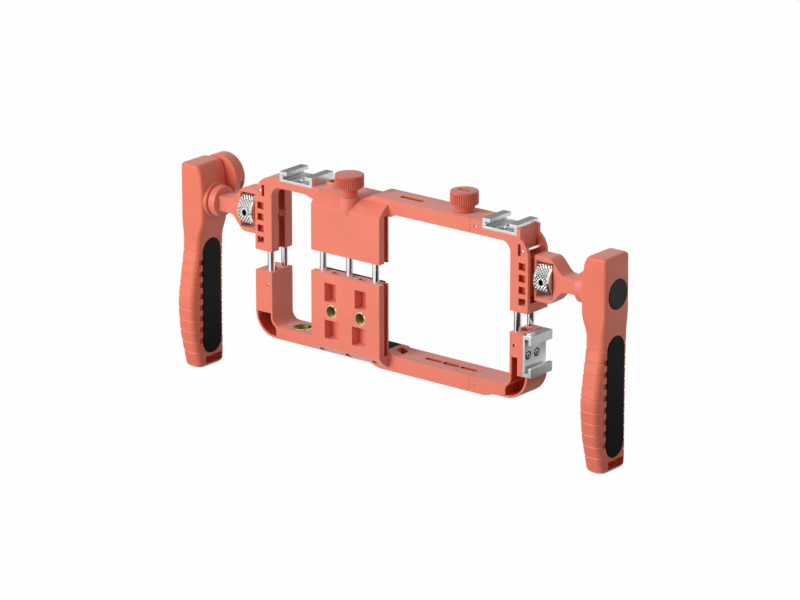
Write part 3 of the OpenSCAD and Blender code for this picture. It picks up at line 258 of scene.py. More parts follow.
def knurlShadeMaterial(s, axis, valley, peak):
    material, tree, shader = newMaterial("knurlShadedSteel", Metallic=1.0)
    lines = useGroup(tree, lineGroup, **{"Stretch": s["stretch"], "Scale": s["scale"]})
    coordinates = addNode(tree, "ShaderNodeTexCoord")
    centred = addNode(tree, "ShaderNodeMapping", {"Location": (0.0, -axis[0], -axis[1]),
                                                  "Scale": (0.0, 1.0, 1.0)})
    tree.links.new(coordinates.outputs["Object"], centred.inputs["Vector"])
    reach = addNode(tree, "ShaderNodeVectorMath", operation="LENGTH")
    tree.links.new(centred.outputs["Vector"], reach.inputs[0])
    # painted shade: the colour runs from dark in the valleys to bright at the points
    low, high = (valley + share * (peak - valley) for share in s["span"])
    depth = addNode(tree, "ShaderNodeMapRange", {"From Min": low, "From Max": high})
    tree.links.new(reach.outputs["Value"], depth.inputs["Value"])
    tree.links.new(tint(tree, depth.outputs["Result"], s["dark"], s["light"]), shader.inputs["Base Color"])
    tree.links.new(spread(tree, lines.outputs["Height"], *s["rough"]), shader.inputs["Roughness"])
    return material


print("finishes ready:", len(finishes), "for the nodes")

for name, node in nodes.items():
    node.data.materials.clear()
    node.data.materials.append(finishes[slotOf[name]])


# bodies of the pieces are built in millimetres about the part's origin, then brought to metres
def link(piece):
    bpy.context.scene.collection.objects.link(piece)
    return piece


def bake(piece):
    solid = bpy.data.meshes.new_from_object(piece.evaluated_get(bpy.context.evaluated_depsgraph_get()))
    old = piece.data
    bpy.data.objects.remove(piece)
    bpy.data.meshes.remove(old)
    return solid


def addPiece(name, mesh, node, *stands):
    mesh.name = name
    if not mesh.materials:
        mesh.materials.append(finishes[slotOf[node]])
    piece = link(bpy.data.objects.new(name, mesh))
    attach(piece, bodyOf[node])
    if stands:
        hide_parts(*stands)
    return piece


def shade(mesh, angle=38.0):
    mesh.shade_smooth()
    mesh.set_sharp_from_angle(angle=math.radians(angle))
    return mesh


def toMesh(build, name):
    bmesh.ops.recalc_face_normals(build, faces=build.faces)
    mesh = bpy.data.meshes.new(name)
    build.to_mesh(mesh)
    build.free()
    return mesh


def paint(mesh, material):
    mesh.materials.clear()
    mesh.materials.append(material)
    mesh.polygons.foreach_set("material_index", [0] * len(mesh.polygons))
    return mesh


# several meshes as one, each keeping its own materials
def joined(name, *meshes):
    build, finish = bmesh.new(), []
    for mesh in meshes:
        start, own = len(build.faces), list(mesh.materials)
        build.from_mesh(mesh)
        build.faces.ensure_lookup_table()
        finish += [material for material in own if material not in finish]
        for face in build.faces[start:] if own else []:
            face.material_index = finish.index(own[face.material_index])
        bpy.data.meshes.remove(mesh)
    mesh = bpy.data.meshes.new(name)
    build.to_mesh(mesh)
    build.free()
    for material in finish:
        mesh.materials.append(material)
    return mesh


# turned bodies: a closed outline of (radius, height) spun about Z, in millimetres
def turned(outline, steps):
    build = bmesh.new()
    rings = []
    for radius, height in outline:
        if radius < 1e-6:
            rings.append([build.verts.new((0, 0, height))])
        else:
            angles = [2 * math.pi * i / steps for i in range(steps)]
            rings.append([build.verts.new((radius * math.cos(angle), radius * math.sin(angle), height))
                          for angle in angles])
    for low, high in zip(rings, rings[1:] + rings[:1]):
        if len(low) == 1 and len(high) == 1:
            continue
        for i in range(steps):
            j = (i + 1) % steps
            below = [low[i], low[j]] if len(low) > 1 else [low[0]]
            above = [high[j], high[i]] if len(high) > 1 else [high[0]]
            build.faces.new(below + above)
    return toMesh(build, "turned")


def rod(radius, low, high, steps):
    return turned([(0, low), (radius, low), (radius, high), (0, high)], steps)


# a quarter round from the side to the top of a turned outline
def shoulder(radius, height, size, steps=5):
    angles = [math.pi / 2 * i / steps for i in range(steps + 1)]
    return [(radius + size * math.cos(angle), height + size * math.sin(angle)) for angle in angles]


def place(mesh, x, y, z, turn=None):
    mesh.transform(Matrix.Translation((x, y, z)) @ (turn or Matrix.Identity(4)))
    return mesh


millimetres = Matrix.Scale(0.001, 4)
alongX = Matrix.Rotation(math.pi / 2, 4, "Y")     # an axis of +Z lies along +X
againstX = Matrix.Rotation(-math.pi / 2, 4, "Y")  # along -X
alongY = Matrix.Rotation(-math.pi / 2, 4, "X")    # along +Y
upsideDown = Matrix.Rotation(math.pi, 4, "X")     # and along -Z


def cut(mesh, tool, operation="DIFFERENCE"):
    piece = link(bpy.data.objects.new("work", mesh))
    cutter = link(bpy.data.objects.new("tool", tool))
    step = piece.modifiers.new("cut", "BOOLEAN")
    step.operation = operation
    step.solver = "EXACT"
    step.object = cutter
    solid = bake(piece)
    bpy.data.objects.remove(cutter)
    bpy.data.meshes.remove(tool)
    return solid


def roundBox(low, high, radius, steps=3):
    build = bmesh.new()
    bmesh.ops.create_cube(build, size=1.0)
    size = [h - l for l, h in zip(low, high)]
    for vert in build.verts:
        vert.co = [l + (c + 0.5) * s for l, c, s in zip(low, vert.co, size)]
    if radius:
        bmesh.ops.bevel(build, geom=build.edges[:], offset=radius, segments=steps, profile=0.5,
                        affect="EDGES")
    return toMesh(build, "box")


# a box given for the right-hand side, or its mirror image on the left
def sidedBox(side, low, high, radius=0):
    x0, x1 = sorted((side * low[0], side * high[0]))
    return roundBox((x0, *low[1:]), (x1, *high[1:]), radius)


# soft edges: a copy of a node with its doubles merged, its trims cut and its outward edges rounded,
# while the rims of small holes stay sharp
edgeForm = {"weld": 2e-6, "corner": 30.0, "segments": 2, "weight": 60}


def edgeRuns(edges):
    left, runs = set(edges), []
    while left:
        ahead, run = [left.pop()], []
        while ahead:
            edge = ahead.pop()
            run.append(edge)
            near = [other for vert in edge.verts for other in vert.link_edges if other in left]
            ahead += near
            left.difference_update(near)
        runs.append(run)
    return runs


def mergedCopy(node):
    build = bmesh.new()
    build.from_mesh(nodes[node].data)
    bmesh.ops.remove_doubles(build, verts=build.verts, dist=edgeForm["weld"])
    return toMesh(build, node)


def spanOf(spots):
    return max(max(spot[k] for spot in spots) - min(spot[k] for spot in spots) for k in range(3))


def softMesh(node, width, smallest=0.0):
    solid = mergedCopy(node)
    for tool in trims.get(node, []):
        tool.transform(millimetres)
        solid = cut(solid, tool)
    build = bmesh.new()
    build.from_mesh(solid)
    bpy.data.meshes.remove(solid)
    bmesh.ops.remove_doubles(build, verts=build.verts, dist=edgeForm["weld"])
    weight = build.edges.layers.float.new("bevel_weight_edge")
    corner = [edge for edge in build.edges if len(edge.link_faces) == 2
              and edge.calc_face_angle(0) > math.radians(edgeForm["corner"])]
    for edge in build.edges:
        edge.smooth = True
    for edge in corner:
        edge.smooth = False
    for run in edgeRuns([edge for edge in corner if edge.is_convex]):
        if spanOf([vert.co for edge in run for vert in edge.verts]) > smallest / 1000:
            for edge in run:
                edge[weight] = 1.0
                edge.smooth = True
    for face in build.faces:
        face.smooth = True
    mesh = toMesh(build, node)
    piece = link(bpy.data.objects.new(node, mesh))
    edge = piece.modifiers.new("edge", "BEVEL")
    edge.width = width / 1000
    edge.segments = edgeForm["segments"]
    edge.limit_method = "WEIGHT"
    edge.use_clamp_overlap = False
    normals = piece.modifiers.new("normals", "WEIGHTED_NORMAL")
    normals.weight = edgeForm["weight"]
    normals.keep_sharp = True
    return bake(piece)


# width of the round, and the span below which a rim stays sharp, in millimetres
softEdges = {
    "lower_frame": (0.2, 7.0), "lower_corner": (0.2, 7.0), "upper_frame": (0.2, 7.0),
    "upper_corner": (0.2, 7.0), "left_arm": (0.25, 3.4), "right_arm": (0.25, 3.4),
    "side_shoe": (0.15, 3.4), "left_top_shoe": (0.15, 3.4), "right_top_shoe": (0.15, 3.4),
    "lower_jaw_pad": (0.4,), "upper_jaw_pad": (0.4,), "lower_plate_pad": (0.3,), "upper_plate_pad": (0.3,),
    "left_outer_inlay": (0.35,), "left_inner_inlay": (0.35,), "right_outer_inlay": (0.35,),
    "right_inner_inlay": (0.35,), "left_cap": (0.35,), "right_cap": (0.35,),
    "side_rods": (0.3, 3.0), "guide_rods": (0.3, 3.0), "clamp_screw": (0.3, 3.0),
    "rod_pins": (0.3,), "strap_pins": (0.3,), "lower_dowel": (0.3,), "upper_dowel": (0.3,),
    "left_stud": (0.3,), "right_stud": (0.3,), "shutter_remote": (0.45,), "shutter_button": (0.7,),
    "swivel_washers": (0.1,)}

# wider slots and a larger square pocket in the lower bar
barCuts = {"slots": 3, "slot": (19.15, 11.9, 10.5), "wide": 3.0, "floor": 32.6, "top": 42.0, "middle": 0.3,
           "square": ((0.2, -2.6), (5.0, 2.7))}
# a slimmer boss under the clamp knob: the bar's slope runs on around a post
boss = {"x": -24.0, "y": -11.9, "radius": 4.6, "reach": 6.4, "post": (100.0, 130.0), "steps": 64,
        "slope": [(-15.85, 114.3), (-12.15, 118.268), (-8.45, 120.7), (-4.0, 120.7), (-4.0, 123.0),
                  (-20.0, 123.0), (-20.0, 111.0), (-15.85, 111.0)]}
# outside the channel the arm's foot stands back behind the front of the arm's head
footCuts = [((92.5, -7.0, 84.0), (94.7, -2.4, 111.0)), ((94.69, -7.0, 84.0), (96.3, -4.7, 111.0))]


def prism(outline, x0, x1):
    build = bmesh.new()
    near = [build.verts.new((x0, y, z)) for y, z in outline]
    far = [build.verts.new((x1, y, z)) for y, z in outline]
    build.faces.new(near)
    build.faces.new(far)
    for i in range(len(near)):
        j = (i + 1) % len(near)
        build.faces.new((near[i], near[j], far[j], far[i]))
    return toMesh(build, "prism")


def barTools(s):
    start, pitch, length = s["slot"]
    near, far = s["middle"] - s["wide"] / 2, s["middle"] + s["wide"] / 2
    tools = [roundBox((start + pitch * i, near, s["floor"]), (start + pitch * i + length, far, s["top"]), 0)
             for i in range(s["slots"])]
    (x0, y0), (x1, y1) = s["square"]
    return tools + [roundBox((x0, y0, s["floor"]), (x1, y1, s["top"]), 0)]


def bossTool(s):
    slope = prism(s["slope"], s["x"] - s["reach"], s["x"] + s["reach"])
    return cut(slope, place(rod(s["radius"], *s["post"], s["steps"]), s["x"], s["y"], 0))


trims = {"lower_frame": barTools(barCuts), "upper_frame": [bossTool(boss)],
         "left_arm": [sidedBox(-1, *box) for box in footCuts],
         "right_arm": [sidedBox(1, *box) for box in footCuts]}

# painted shade on the inside faces of recesses: boxes of (x, y, z) spans that hold the faces' centres,
# as they stand in the bars, and mirrored in X at both sides
barSlots = [((0.1, 5.1), (-2.7, 2.8), (32.0, 36.0)), ((19.0, 54.0), (-1.3, 1.9), (32.0, 36.05)),
            ((1.7, 16.9), (-1.3, 1.9), (119.0, 123.4)), ((-2.25, -0.32), (-11.65, -8.95), (36.0, 116.0))]
windows = [((86.7, 92.0), (-8.38, -6.32), (81.0, 116.0)), ((81.75, 86.0), (-2.6, 3.2), (77.0, 112.0)),
           ((86.7, 93.4), (-6.4, 7.0), (83.2, 107.0))]
armSeats = [((86.7, 94.6), (-6.6, 7.0), (84.0, 108.2))]
pockets = [((82.0, 93.2), (-8.2, 3.6), (29.6, 40.0)), ((76.0, 82.0), (-8.2, 3.6), (29.6, 35.9)),
           ((82.0, 90.2), (-8.2, 3.6), (40.0, 62.0))]
lowerCorner = {"x": 79.9, "z": 42.7, "reach": 12.9, "top": 62.0}
recessShadeBoxes = {"lower_frame": (barSlots, pockets), "lower_corner": ([], pockets),
            "upper_frame": (barSlots, windows), "upper_corner": ([], windows),
            "left_arm": ([], armSeats), "right_arm": ([], armSeats)}


def inBox(spot, box):
    return all(low < c < high for c, (low, high) in zip(spot, box))


def withinCorner(spot, s):                        # not on the round outside of a lower corner
    away = Vector((max(0.0, spot.x - s["x"]), 0.0, min(0.0, spot.z - s["z"])))
    return spot.z > s["top"] or away.length < s["reach"]


# painted shade: faces inside the boxes take the darker coral of recesses
def paintRecessShade(mesh, asTheyStand, atBothSides):
    mesh.materials.append(finishes["coral_plastic"])
    mesh.materials.append(paintedShadePlastic)
    for face in mesh.polygons:
        spot = face.center * 1000
        across = Vector((abs(spot.x), spot.y, spot.z))
        held = any(inBox(spot, box) for box in asTheyStand) or any(inBox(across, box) for box in atBothSides)
        if held and withinCorner(across, lowerCorner):
            face.material_index = 1


for node, soft in softEdges.items():
    mesh = softMesh(node, *soft)
    if node in recessShadeBoxes:
        paintRecessShade(mesh, *recessShadeBoxes[node])
    addPiece(node + ".soft", mesh, node, node)

# painted shade in the joint lines of both bars: thin plates in the recess shade colour that show in the
# grooves between the two mouldings
seamShades = {"x": (54.83, 55.19), "y": (-8.41, 9.01), "round": 0.02,
         "z": {"lower_frame": (29.14, 36.06), "upper_frame": (115.54, 123.46)}}
for node, levels in seamShades["z"].items():
    seamShade = roundBox(*zip(seamShades["x"], seamShades["y"], levels), seamShades["round"], 1)
    seamShade.transform(millimetres)
    addPiece(node + ".seam", paint(seamShade, paintedShadePlastic), node)
print("soft-edged pieces:", len(softEdges))


# Geometry Nodes helpers
def growTree(name, inputs):
    tree = bpy.data.node_groups.new(name, "GeometryNodeTree")
    for socket, kind, value in inputs + [("Material", "NodeSocketMaterial", None)]:
        made = tree.interface.new_socket(socket, in_out="INPUT", socket_type=kind)
        if value is not None:
            made.default_value = value
    tree.interface.new_socket("Geometry", in_out="OUTPUT", socket_type="NodeSocketGeometry")
    return tree, tree.nodes.new("NodeGroupInput"), tree.nodes.new("NodeGroupOutput")


def feed(tree, node, values):
    for socket, value in zip(node.inputs, values):
        if isinstance(value, bpy.types.NodeSocket):
            tree.links.new(value, socket)
        else:
            socket.default_value = value
    return node.outputs[0]


def calc(tree, operation, *values):
    return feed(tree, addNode(tree, "ShaderNodeMath", operation=operation), values)


def vector(tree, *values):
    return feed(tree, addNode(tree, "ShaderNodeCombineXYZ"), values)


def wire(tree, node, **links):
    for name, source in links.items():
        tree.links.new(source, node.inputs[name.replace("_", " ")])
    return node


def endTree(tree, given, out, instances):
    solid = wire(tree, addNode(tree, "GeometryNodeRealizeInstances"), Geometry=instances)
    painted = wire(tree, addNode(tree, "GeometryNodeSetMaterial"), Geometry=solid.outputs["Geometry"],
                   Material=given.outputs["Material"])
    tree.links.new(painted.outputs["Geometry"], out.inputs["Geometry"])
    return tree


def grow(tree, material, **values):
    piece = link(bpy.data.objects.new("grown", bpy.data.meshes.new("grown")))
    maker = piece.modifiers.new("maker", "NODES")
    maker.node_group = tree
    given = {name.replace("_", " "): value for name, value in values.items()}
    given["Material"] = material
    for item in tree.interface.items_tree:
        if item.in_out == "INPUT" and item.name in given:
            maker[item.identifier] = given[item.name]
    return paint(bake(piece), material)


# diamond knurl: staggered rows of four-sided points on a drum along X
def buildKnurlTree():
    tree, given, out = growTree("diamondKnurl", [
        ("Radius", "NodeSocketFloat", 8.8),
        ("Width", "NodeSocketFloat", 9.0),
        ("Around", "NodeSocketInt", 28),
        ("Rows", "NodeSocketInt", 9),
        ("Tooth", "NodeSocketFloat", 0.65),
        ("Hole", "NodeSocketVector", None),
        ("Hole Size", "NodeSocketFloat", 2.05)])
    take = given.outputs
    points = wire(tree, addNode(tree, "GeometryNodeMeshLine"),
                  Count=calc(tree, "MULTIPLY", take["Around"], take["Rows"]))
    index = addNode(tree, "GeometryNodeInputIndex").outputs["Index"]
    row = calc(tree, "FLOOR", calc(tree, "DIVIDE", calc(tree, "ADD", index, 0.01), take["Around"]))
    column = calc(tree, "SUBTRACT", index, calc(tree, "MULTIPLY", row, take["Around"]))
    half = calc(tree, "MULTIPLY", calc(tree, "MODULO", row, 2.0), 0.5)
    angle = calc(tree, "MULTIPLY", calc(tree, "ADD", column, half),
                 calc(tree, "DIVIDE", 2 * math.pi, take["Around"]))
    step = calc(tree, "DIVIDE", take["Width"], take["Rows"])
    across = calc(tree, "SUBTRACT", calc(tree, "MULTIPLY", calc(tree, "ADD", row, 0.5), step),
                  calc(tree, "MULTIPLY", take["Width"], 0.5))
    spot = vector(tree, across, calc(tree, "MULTIPLY", calc(tree, "COSINE", angle), take["Radius"]),
                  calc(tree, "MULTIPLY", calc(tree, "SINE", angle), take["Radius"]))
    moved = wire(tree, addNode(tree, "GeometryNodeSetPosition"), Geometry=points.outputs["Mesh"],
                 Position=spot)
    away = addNode(tree, "ShaderNodeVectorMath", operation="DISTANCE")
    tree.links.new(spot, away.inputs[0])
    tree.links.new(take["Hole"], away.inputs[1])
    kept = calc(tree, "GREATER_THAN", away.outputs["Value"], take["Hole Size"])
    tooth = addNode(tree, "GeometryNodeMeshCone", {"Vertices": 4, "Radius Top": 0.0, "Radius Bottom": 1.0,
                                                   "Depth": 1.0}, fill_type="NONE")
    wide = calc(tree, "DIVIDE", calc(tree, "MULTIPLY", take["Radius"], math.pi), take["Around"])
    fixed = wire(tree, addNode(tree, "GeometryNodeInstanceOnPoints"), Points=moved.outputs["Geometry"],
                 Selection=kept, Instance=tooth.outputs["Mesh"],
                 Rotation=vector(tree, calc(tree, "SUBTRACT", angle, math.pi / 2), 0.0, 0.0),
                 Scale=vector(tree, step, wide, take["Tooth"]))
    return endTree(tree, given, out, fixed.outputs["Instances"])


# flutes: round ribs on a ring, standing up
def buildFluteTree():
    tree, given, out = growTree("knobFlutes", [
        ("Radius", "NodeSocketFloat", 7.6),
        ("Count", "NodeSocketInt", 44),
        ("Rib", "NodeSocketFloat", 0.42),
        ("Low", "NodeSocketFloat", 0.6),
        ("High", "NodeSocketFloat", 6.0)])
    take = given.outputs
    rib = wire(tree, addNode(tree, "GeometryNodeCurvePrimitiveLine"),
               Start=vector(tree, 0.0, 0.0, take["Low"]), End=vector(tree, 0.0, 0.0, take["High"]))
    outline = wire(tree, addNode(tree, "GeometryNodeCurvePrimitiveCircle", {"Resolution": 10}),
                   Radius=take["Rib"])
    body = wire(tree, addNode(tree, "GeometryNodeCurveToMesh", {"Fill Caps": True}),
                Curve=rib.outputs["Curve"], Profile_Curve=outline.outputs["Curve"])
    ring = wire(tree, addNode(tree, "GeometryNodeMeshCircle"), Vertices=take["Count"], Radius=take["Radius"])
    fixed = wire(tree, addNode(tree, "GeometryNodeInstanceOnPoints"), Points=ring.outputs["Mesh"],
                 Instance=body.outputs["Mesh"])
    return endTree(tree, given, out, fixed.outputs["Instances"])


# inside thread: a ridge wound on a helix along Z
def buildThreadTree():
    tree, given, out = growTree("insideThread", [
        ("Radius", "NodeSocketFloat", 3.2),
        ("Pitch", "NodeSocketFloat", 1.27),
        ("Length", "NodeSocketFloat", 6.0),
        ("Ridge", "NodeSocketFloat", 0.55)])
    take = given.outputs
    helix = wire(tree, addNode(tree, "GeometryNodeCurveSpiral", {"Resolution": 40}),
                 Rotations=calc(tree, "DIVIDE", take["Length"], take["Pitch"]), Start_Radius=take["Radius"],
                 End_Radius=take["Radius"], Height=take["Length"])
    outline = wire(tree, addNode(tree, "GeometryNodeCurvePrimitiveCircle", {"Resolution": 4}),
                   Radius=take["Ridge"])
    ridge = wire(tree, addNode(tree, "GeometryNodeCurveToMesh", {"Fill Caps": True}),
                 Curve=helix.outputs["Curve"], Profile_Curve=outline.outputs["Curve"])
    return endTree(tree, given, out, ridge.outputs["Mesh"])


# two screws in a row, from one head made in mesh code
def buildScrewTree():
    tree, given, out = growTree("screwRow", [
        ("Head", "NodeSocketObject", None),
        ("Pitch", "NodeSocketVector", None),
        ("Start", "NodeSocketVector", None),
        ("Turn", "NodeSocketVector", None)])
    take = given.outputs
    row = wire(tree, addNode(tree, "GeometryNodeMeshLine", {"Count": 2}), Start_Location=take["Start"],
               Offset=take["Pitch"])
    head = wire(tree, addNode(tree, "GeometryNodeObjectInfo"), Object=take["Head"])
    fixed = wire(tree, addNode(tree, "GeometryNodeInstanceOnPoints"), Points=row.outputs["Mesh"],
                 Instance=head.outputs["Geometry"], Rotation=take["Turn"])
    return endTree(tree, given, out, fixed.outputs["Instances"])


knurlTree = buildKnurlTree()
fluteTree = buildFluteTree()
threadTree = buildThreadTree()
screwTree = buildScrewTree()


def corners(node):
    low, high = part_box(node)
    return low * 1000, high * 1000


# backs of the uprights' windows: plates within the rear walls, and one at the foot of the left channel,
# painted in the recess shade colour
windowBacks = {"x": (87.3, 91.9), "y": (7.2, 8.6), "z": [81.9 + 6.5 * i for i in range(4)], "tall": 4.0,
               "lap": 0.1, "round": 0.08, "strap": ((86.7, 88.7), (108.9, 115.5)),
               "foot": ((-93.2, -4.6, 83.2), (-86.9, -3.8, 85.0))}


def backPlates(s, side):
    near, far = s["y"]
    spans = [(s["x"], (z - s["lap"], z + s["tall"] + s["lap"])) for z in s["z"]] + [s["strap"]]
    plates = [sidedBox(side, (x0, near, low), (x1, far, high), s["round"])
              for (x0, x1), (low, high) in spans]
    if side < 0:
        plates.append(roundBox(*s["foot"], s["round"]))
    mesh = shade(joined("backs", *plates))
    mesh.transform(millimetres)
    return mesh


# painted shade: the window backs take the darker coral of recesses
addPiece("upper_frame.backs", paint(backPlates(windowBacks, -1), paintedShadePlastic), "upper_frame")
addPiece("upper_corner.backs", paint(backPlates(windowBacks, 1), paintedShadePlastic), "upper_corner")

# thumbwheels: drum with bevelled rims, knurl and a cross hole
wheel = {"rim": 0.8, "lip": 0.1, "land": 0.2, "dish": (3.6, 3.2, 0.5), "steps": 96, "sharp": 25.0,
         "tooth": 0.65, "around": 28, "rows": 9, "hole": 1.6, "holeAngle": 182.5, "holeShift": 0.1,
         "holeFloor": 4.0, "holeSteps": 24, "holeSlack": (1.02, 0.1, 0.05), "clear": 0.45}
low, high = corners("right_thumbwheel")
knurlShadedSteel = knurlShadeMaterial(knurlShadeFinish, ((low.y + high.y) / 2000, (low.z + high.z) / 2000),
                             ((high.z - low.z) / 2 - wheel["tooth"]) / 1000, (high.z - low.z) / 2000)


def inHole(spot, s, way, core):
    wider, deeper, short = s["holeSlack"]
    reach = spot.dot(way)
    off = spot - way * reach
    off.x -= s["holeShift"]
    return off.length < s["hole"] * wider and s["holeFloor"] - deeper < reach < core - short


def thumbwheel(node, lie, s):
    low, high = corners(node)
    centre, radius, half = (low + high) / 2, (high.z - low.z) / 2, (high.x - low.x) / 2
    core, rim, lip = radius - s["tooth"], s["rim"], radius - s["lip"]
    flat = rim + s["land"]
    dish, floor, deep = s["dish"]
    drum = turned([(0, -half), (radius - rim, -half), (lip, rim - half), (core, flat - half),
                   (core, half - flat), (lip, half - rim), (radius - rim, half),
                   (dish, half), (floor, half - deep), (0, half - deep)], s["steps"])
    place(drum, 0, 0, 0, lie)
    turn = math.radians(s["holeAngle"])
    hole = Vector((s["holeShift"], core * math.cos(turn), core * math.sin(turn)))
    drill = rod(s["hole"], s["holeFloor"], radius + 1, s["holeSteps"])
    place(drill, hole.x, 0, 0, Matrix.Rotation(turn - math.pi / 2, 4, "X"))
    drum = paint(shade(cut(drum, drill), s["sharp"]), finishes[slotOf[node]])
    drum.materials.append(paintedShadeSteel)
    way = Vector((0, math.cos(turn), math.sin(turn)))
    for face in drum.polygons:                    # painted shade inside the hole
        if inHole(face.center, s, way, core):
            face.material_index = 1
    knurl = grow(knurlTree, knurlShadedSteel, Radius=core, Width=2 * (half - flat), Around=s["around"],
                 Rows=s["rows"], Tooth=s["tooth"], Hole=hole, Hole_Size=s["hole"] + s["clear"])
    solid = joined(node, drum, knurl)
    place(solid, *centre)
    solid.transform(millimetres)
    addPiece(node + ".knurled", solid, node, node)


thumbwheel("left_thumbwheel", againstX, wheel)
thumbwheel("right_thumbwheel", alongX, wheel)
print("thumbwheels ready")

# fluted knobs, the second one with a slot across its top
knobForm = {"steps": 128, "neckEdge": 0.3, "flare": 0.2, "lip": 0.25, "rimInset": 0.04, "topInset": 0.02,
            "ribEnd": 0.1, "slotRound": 0.25}
clampKnob = {"head": 7.6, "neck": 4.5, "foot": 0.9, "round": 0.7, "band": 0.2, "flutes": 44, "rib": 0.42,
             "sink": 0.5, **knobForm}
accessoryKnob = {"head": 9.4, "neck": 5.5, "foot": 2.2, "round": 0.8, "band": 0.3, "flutes": 38, "rib": 0.50,
                 "sink": 0.5, "slot": (7.7, 2.2, 1.4), **knobForm}


def flutedKnob(node, s):
    low, high = corners(node)
    centre, radius, top = (low + high) / 2, (high.x - low.x) / 2, high.z
    start, core, rim = top - s["head"], radius - s["sink"], top - s["round"] - s["band"]
    edge, flare = s["neckEdge"], s["flare"]
    outline = [(0, low.z), (s["neck"] - edge, low.z), (s["neck"], low.z + edge), (s["neck"], start)]
    outline += [(radius - s["foot"] - flare, start), (core - flare, start + s["foot"])]
    outline += [(core, start + s["foot"] + flare), (core, rim - s["lip"]), (radius - s["rimInset"], rim)]
    outline += shoulder(radius - s["round"], top - s["round"], s["round"] - s["topInset"])
    body = turned(outline + [(0, top)], s["steps"])
    if "slot" in s:
        length, width, depth = s["slot"]
        near, far = (-length / 2, -width / 2, top - depth), (length / 2, width / 2, top + 1)
        body = cut(body, roundBox(near, far, s["slotRound"]))
    ribs = grow(fluteTree, finishes[slotOf[node]], Radius=radius - s["rib"], Count=s["flutes"], Rib=s["rib"],
                Low=start + s["foot"], High=rim - s["ribEnd"])
    solid = joined(node, paint(shade(body), finishes[slotOf[node]]), shade(ribs))
    place(solid, centre.x, centre.y, 0)
    solid.transform(millimetres)
    addPiece(node + ".fluted", solid, node, node)


flutedKnob("clamp_knob", clampKnob)
flutedKnob("accessory_knob", accessoryKnob)
print("knobs ready")

# threaded inserts: ring with bevelled edges, a driving notch and the thread inside
insertForm = {"steps": 72, "sink": 0.5, "notchTurn": -50.0, "notchStart": 0.5, "threadIn": 0.8,
              "threadLap": 0.05}
inserts = {
    "quarter": {"bore": 2.6, "depth": 0.55, "pitch": 1.27, "edge": 0.35, "mouth": 0.55,
                "notch": (0.9, 0.8), **insertForm},
    "three": {"bore": 4.0, "depth": 0.65, "pitch": 1.5875, "edge": 0.4, "mouth": 0.6,
              "notch": (1.1, 0.9), **insertForm}}
plateRadius = 4.0                                 # of each insert in the plate


def insertMesh(s, radius, length):
    groove, mouth, edge = s["bore"] + s["depth"], s["bore"] + s["mouth"], s["edge"]
    ring = turned([(mouth, 0), (radius - edge, 0), (radius, edge), (radius, length - edge),
                   (radius - edge, length), (mouth, length), (groove, length - s["sink"]),
                   (groove, s["sink"])], s["steps"])
    width, depth = s["notch"]
    key = roundBox((s["bore"] - s["notchStart"], -width / 2, -1), (radius + 1, width / 2, depth), 0)
    place(key, 0, 0, 0, Matrix.Rotation(math.radians(s["notchTurn"]), 4, "Z"))
    ring = paint(shade(cut(ring, key)), finishes["insert_brass"])
    thread = grow(threadTree, shadedThreadBrass, Radius=groove + s["threadLap"], Pitch=s["pitch"],
                  Length=length - 2 * s["threadIn"], Ridge=s["depth"])
    place(thread, 0, 0, s["threadIn"])
    return joined("insert", ring, thread)


def setInsert(node, s, spots, radius, length, turn):
    solid = joined(node, *[place(insertMesh(s, radius, length), *spot, turn) for spot in spots])
    solid.transform(millimetres)
    addPiece(node + ".threaded", solid, node, node)


low, high = corners("plate_inserts")
level = (low.z + high.z) / 2
setInsert("plate_inserts", inserts["quarter"],
          [(low.x + plateRadius, low.y, level), (high.x - plateRadius, low.y, level)],
          plateRadius, high.y - low.y, alongY)
for node, kind in (("base_insert", "three"), ("top_insert", "quarter")):
    low, high = corners(node)
    setInsert(node, inserts[kind], [((low.x + high.x) / 2, (low.y + high.y) / 2, high.z)],
              (high.x - low.x) / 2, high.z - low.z, upsideDown)
print("inserts ready")

# button-head screws with hexagon sockets in the cold shoes
screw = {"head": 2.35, "height": 0.95, "edge": 0.3, "crown": ((0.35, 0.22), (0.9, 0.03)), "steps": 36,
         "socket": 1.0, "deep": 0.5, "ring": 1.65, "shank": 1.2, "long": 4.0, "inset": 2.4, "sharp": 30.0,
         "wall": (0.05, 0.98, 0.5)}


def screwHead(s):
    low, head, shank = -s["height"], s["head"], s["shank"]
    crown = [(head - inset, -drop) for inset, drop in s["crown"]]
    body = turned([(0, low - s["long"]), (shank, low - s["long"]), (shank, low), (head, low),
                   (head, low + s["edge"])] + crown + [(0, 0)], s["steps"])
    return shade(cut(body, rod(s["socket"], -s["deep"], 1, 6)), s["sharp"])


def screwRow(s, seat, turn, axis):
    template = link(bpy.data.objects.new("screwHead", screwHead(s)))
    low, high = seat
    row = grow(screwTree, finishes["shoe_aluminium"], Head=template, Start=low, Pitch=high - low, Turn=turn)
    old = template.data
    bpy.data.objects.remove(template)
    bpy.data.meshes.remove(old)
    row.materials.append(paintedShadeSteel)
    below, share, steep = s["wall"]
    for face in row.polygons:                     # painted shade on the sockets' walls and the heads' rims
        off = min((face.center - spot for spot in seat), key=lambda away: away.length)
        drop = off[axis]
        off[axis] = 0.0
        wall = drop < -below and off.length < share * s["socket"] and abs(face.normal[axis]) < steep
        if wall or off.length > s["ring"]:
            face.material_index = 1
    return row


def screwSeats(s, node, shoe, axis):
    low, high = corners(node)
    bed = corners(shoe)
    spots = []
    for y in (low.y + s["inset"], high.y - s["inset"]):
        spot = (bed[0] + bed[1]) / 2
        spot.y = y
        spot[axis] = high[axis]
        spots.append(spot)
    return spots


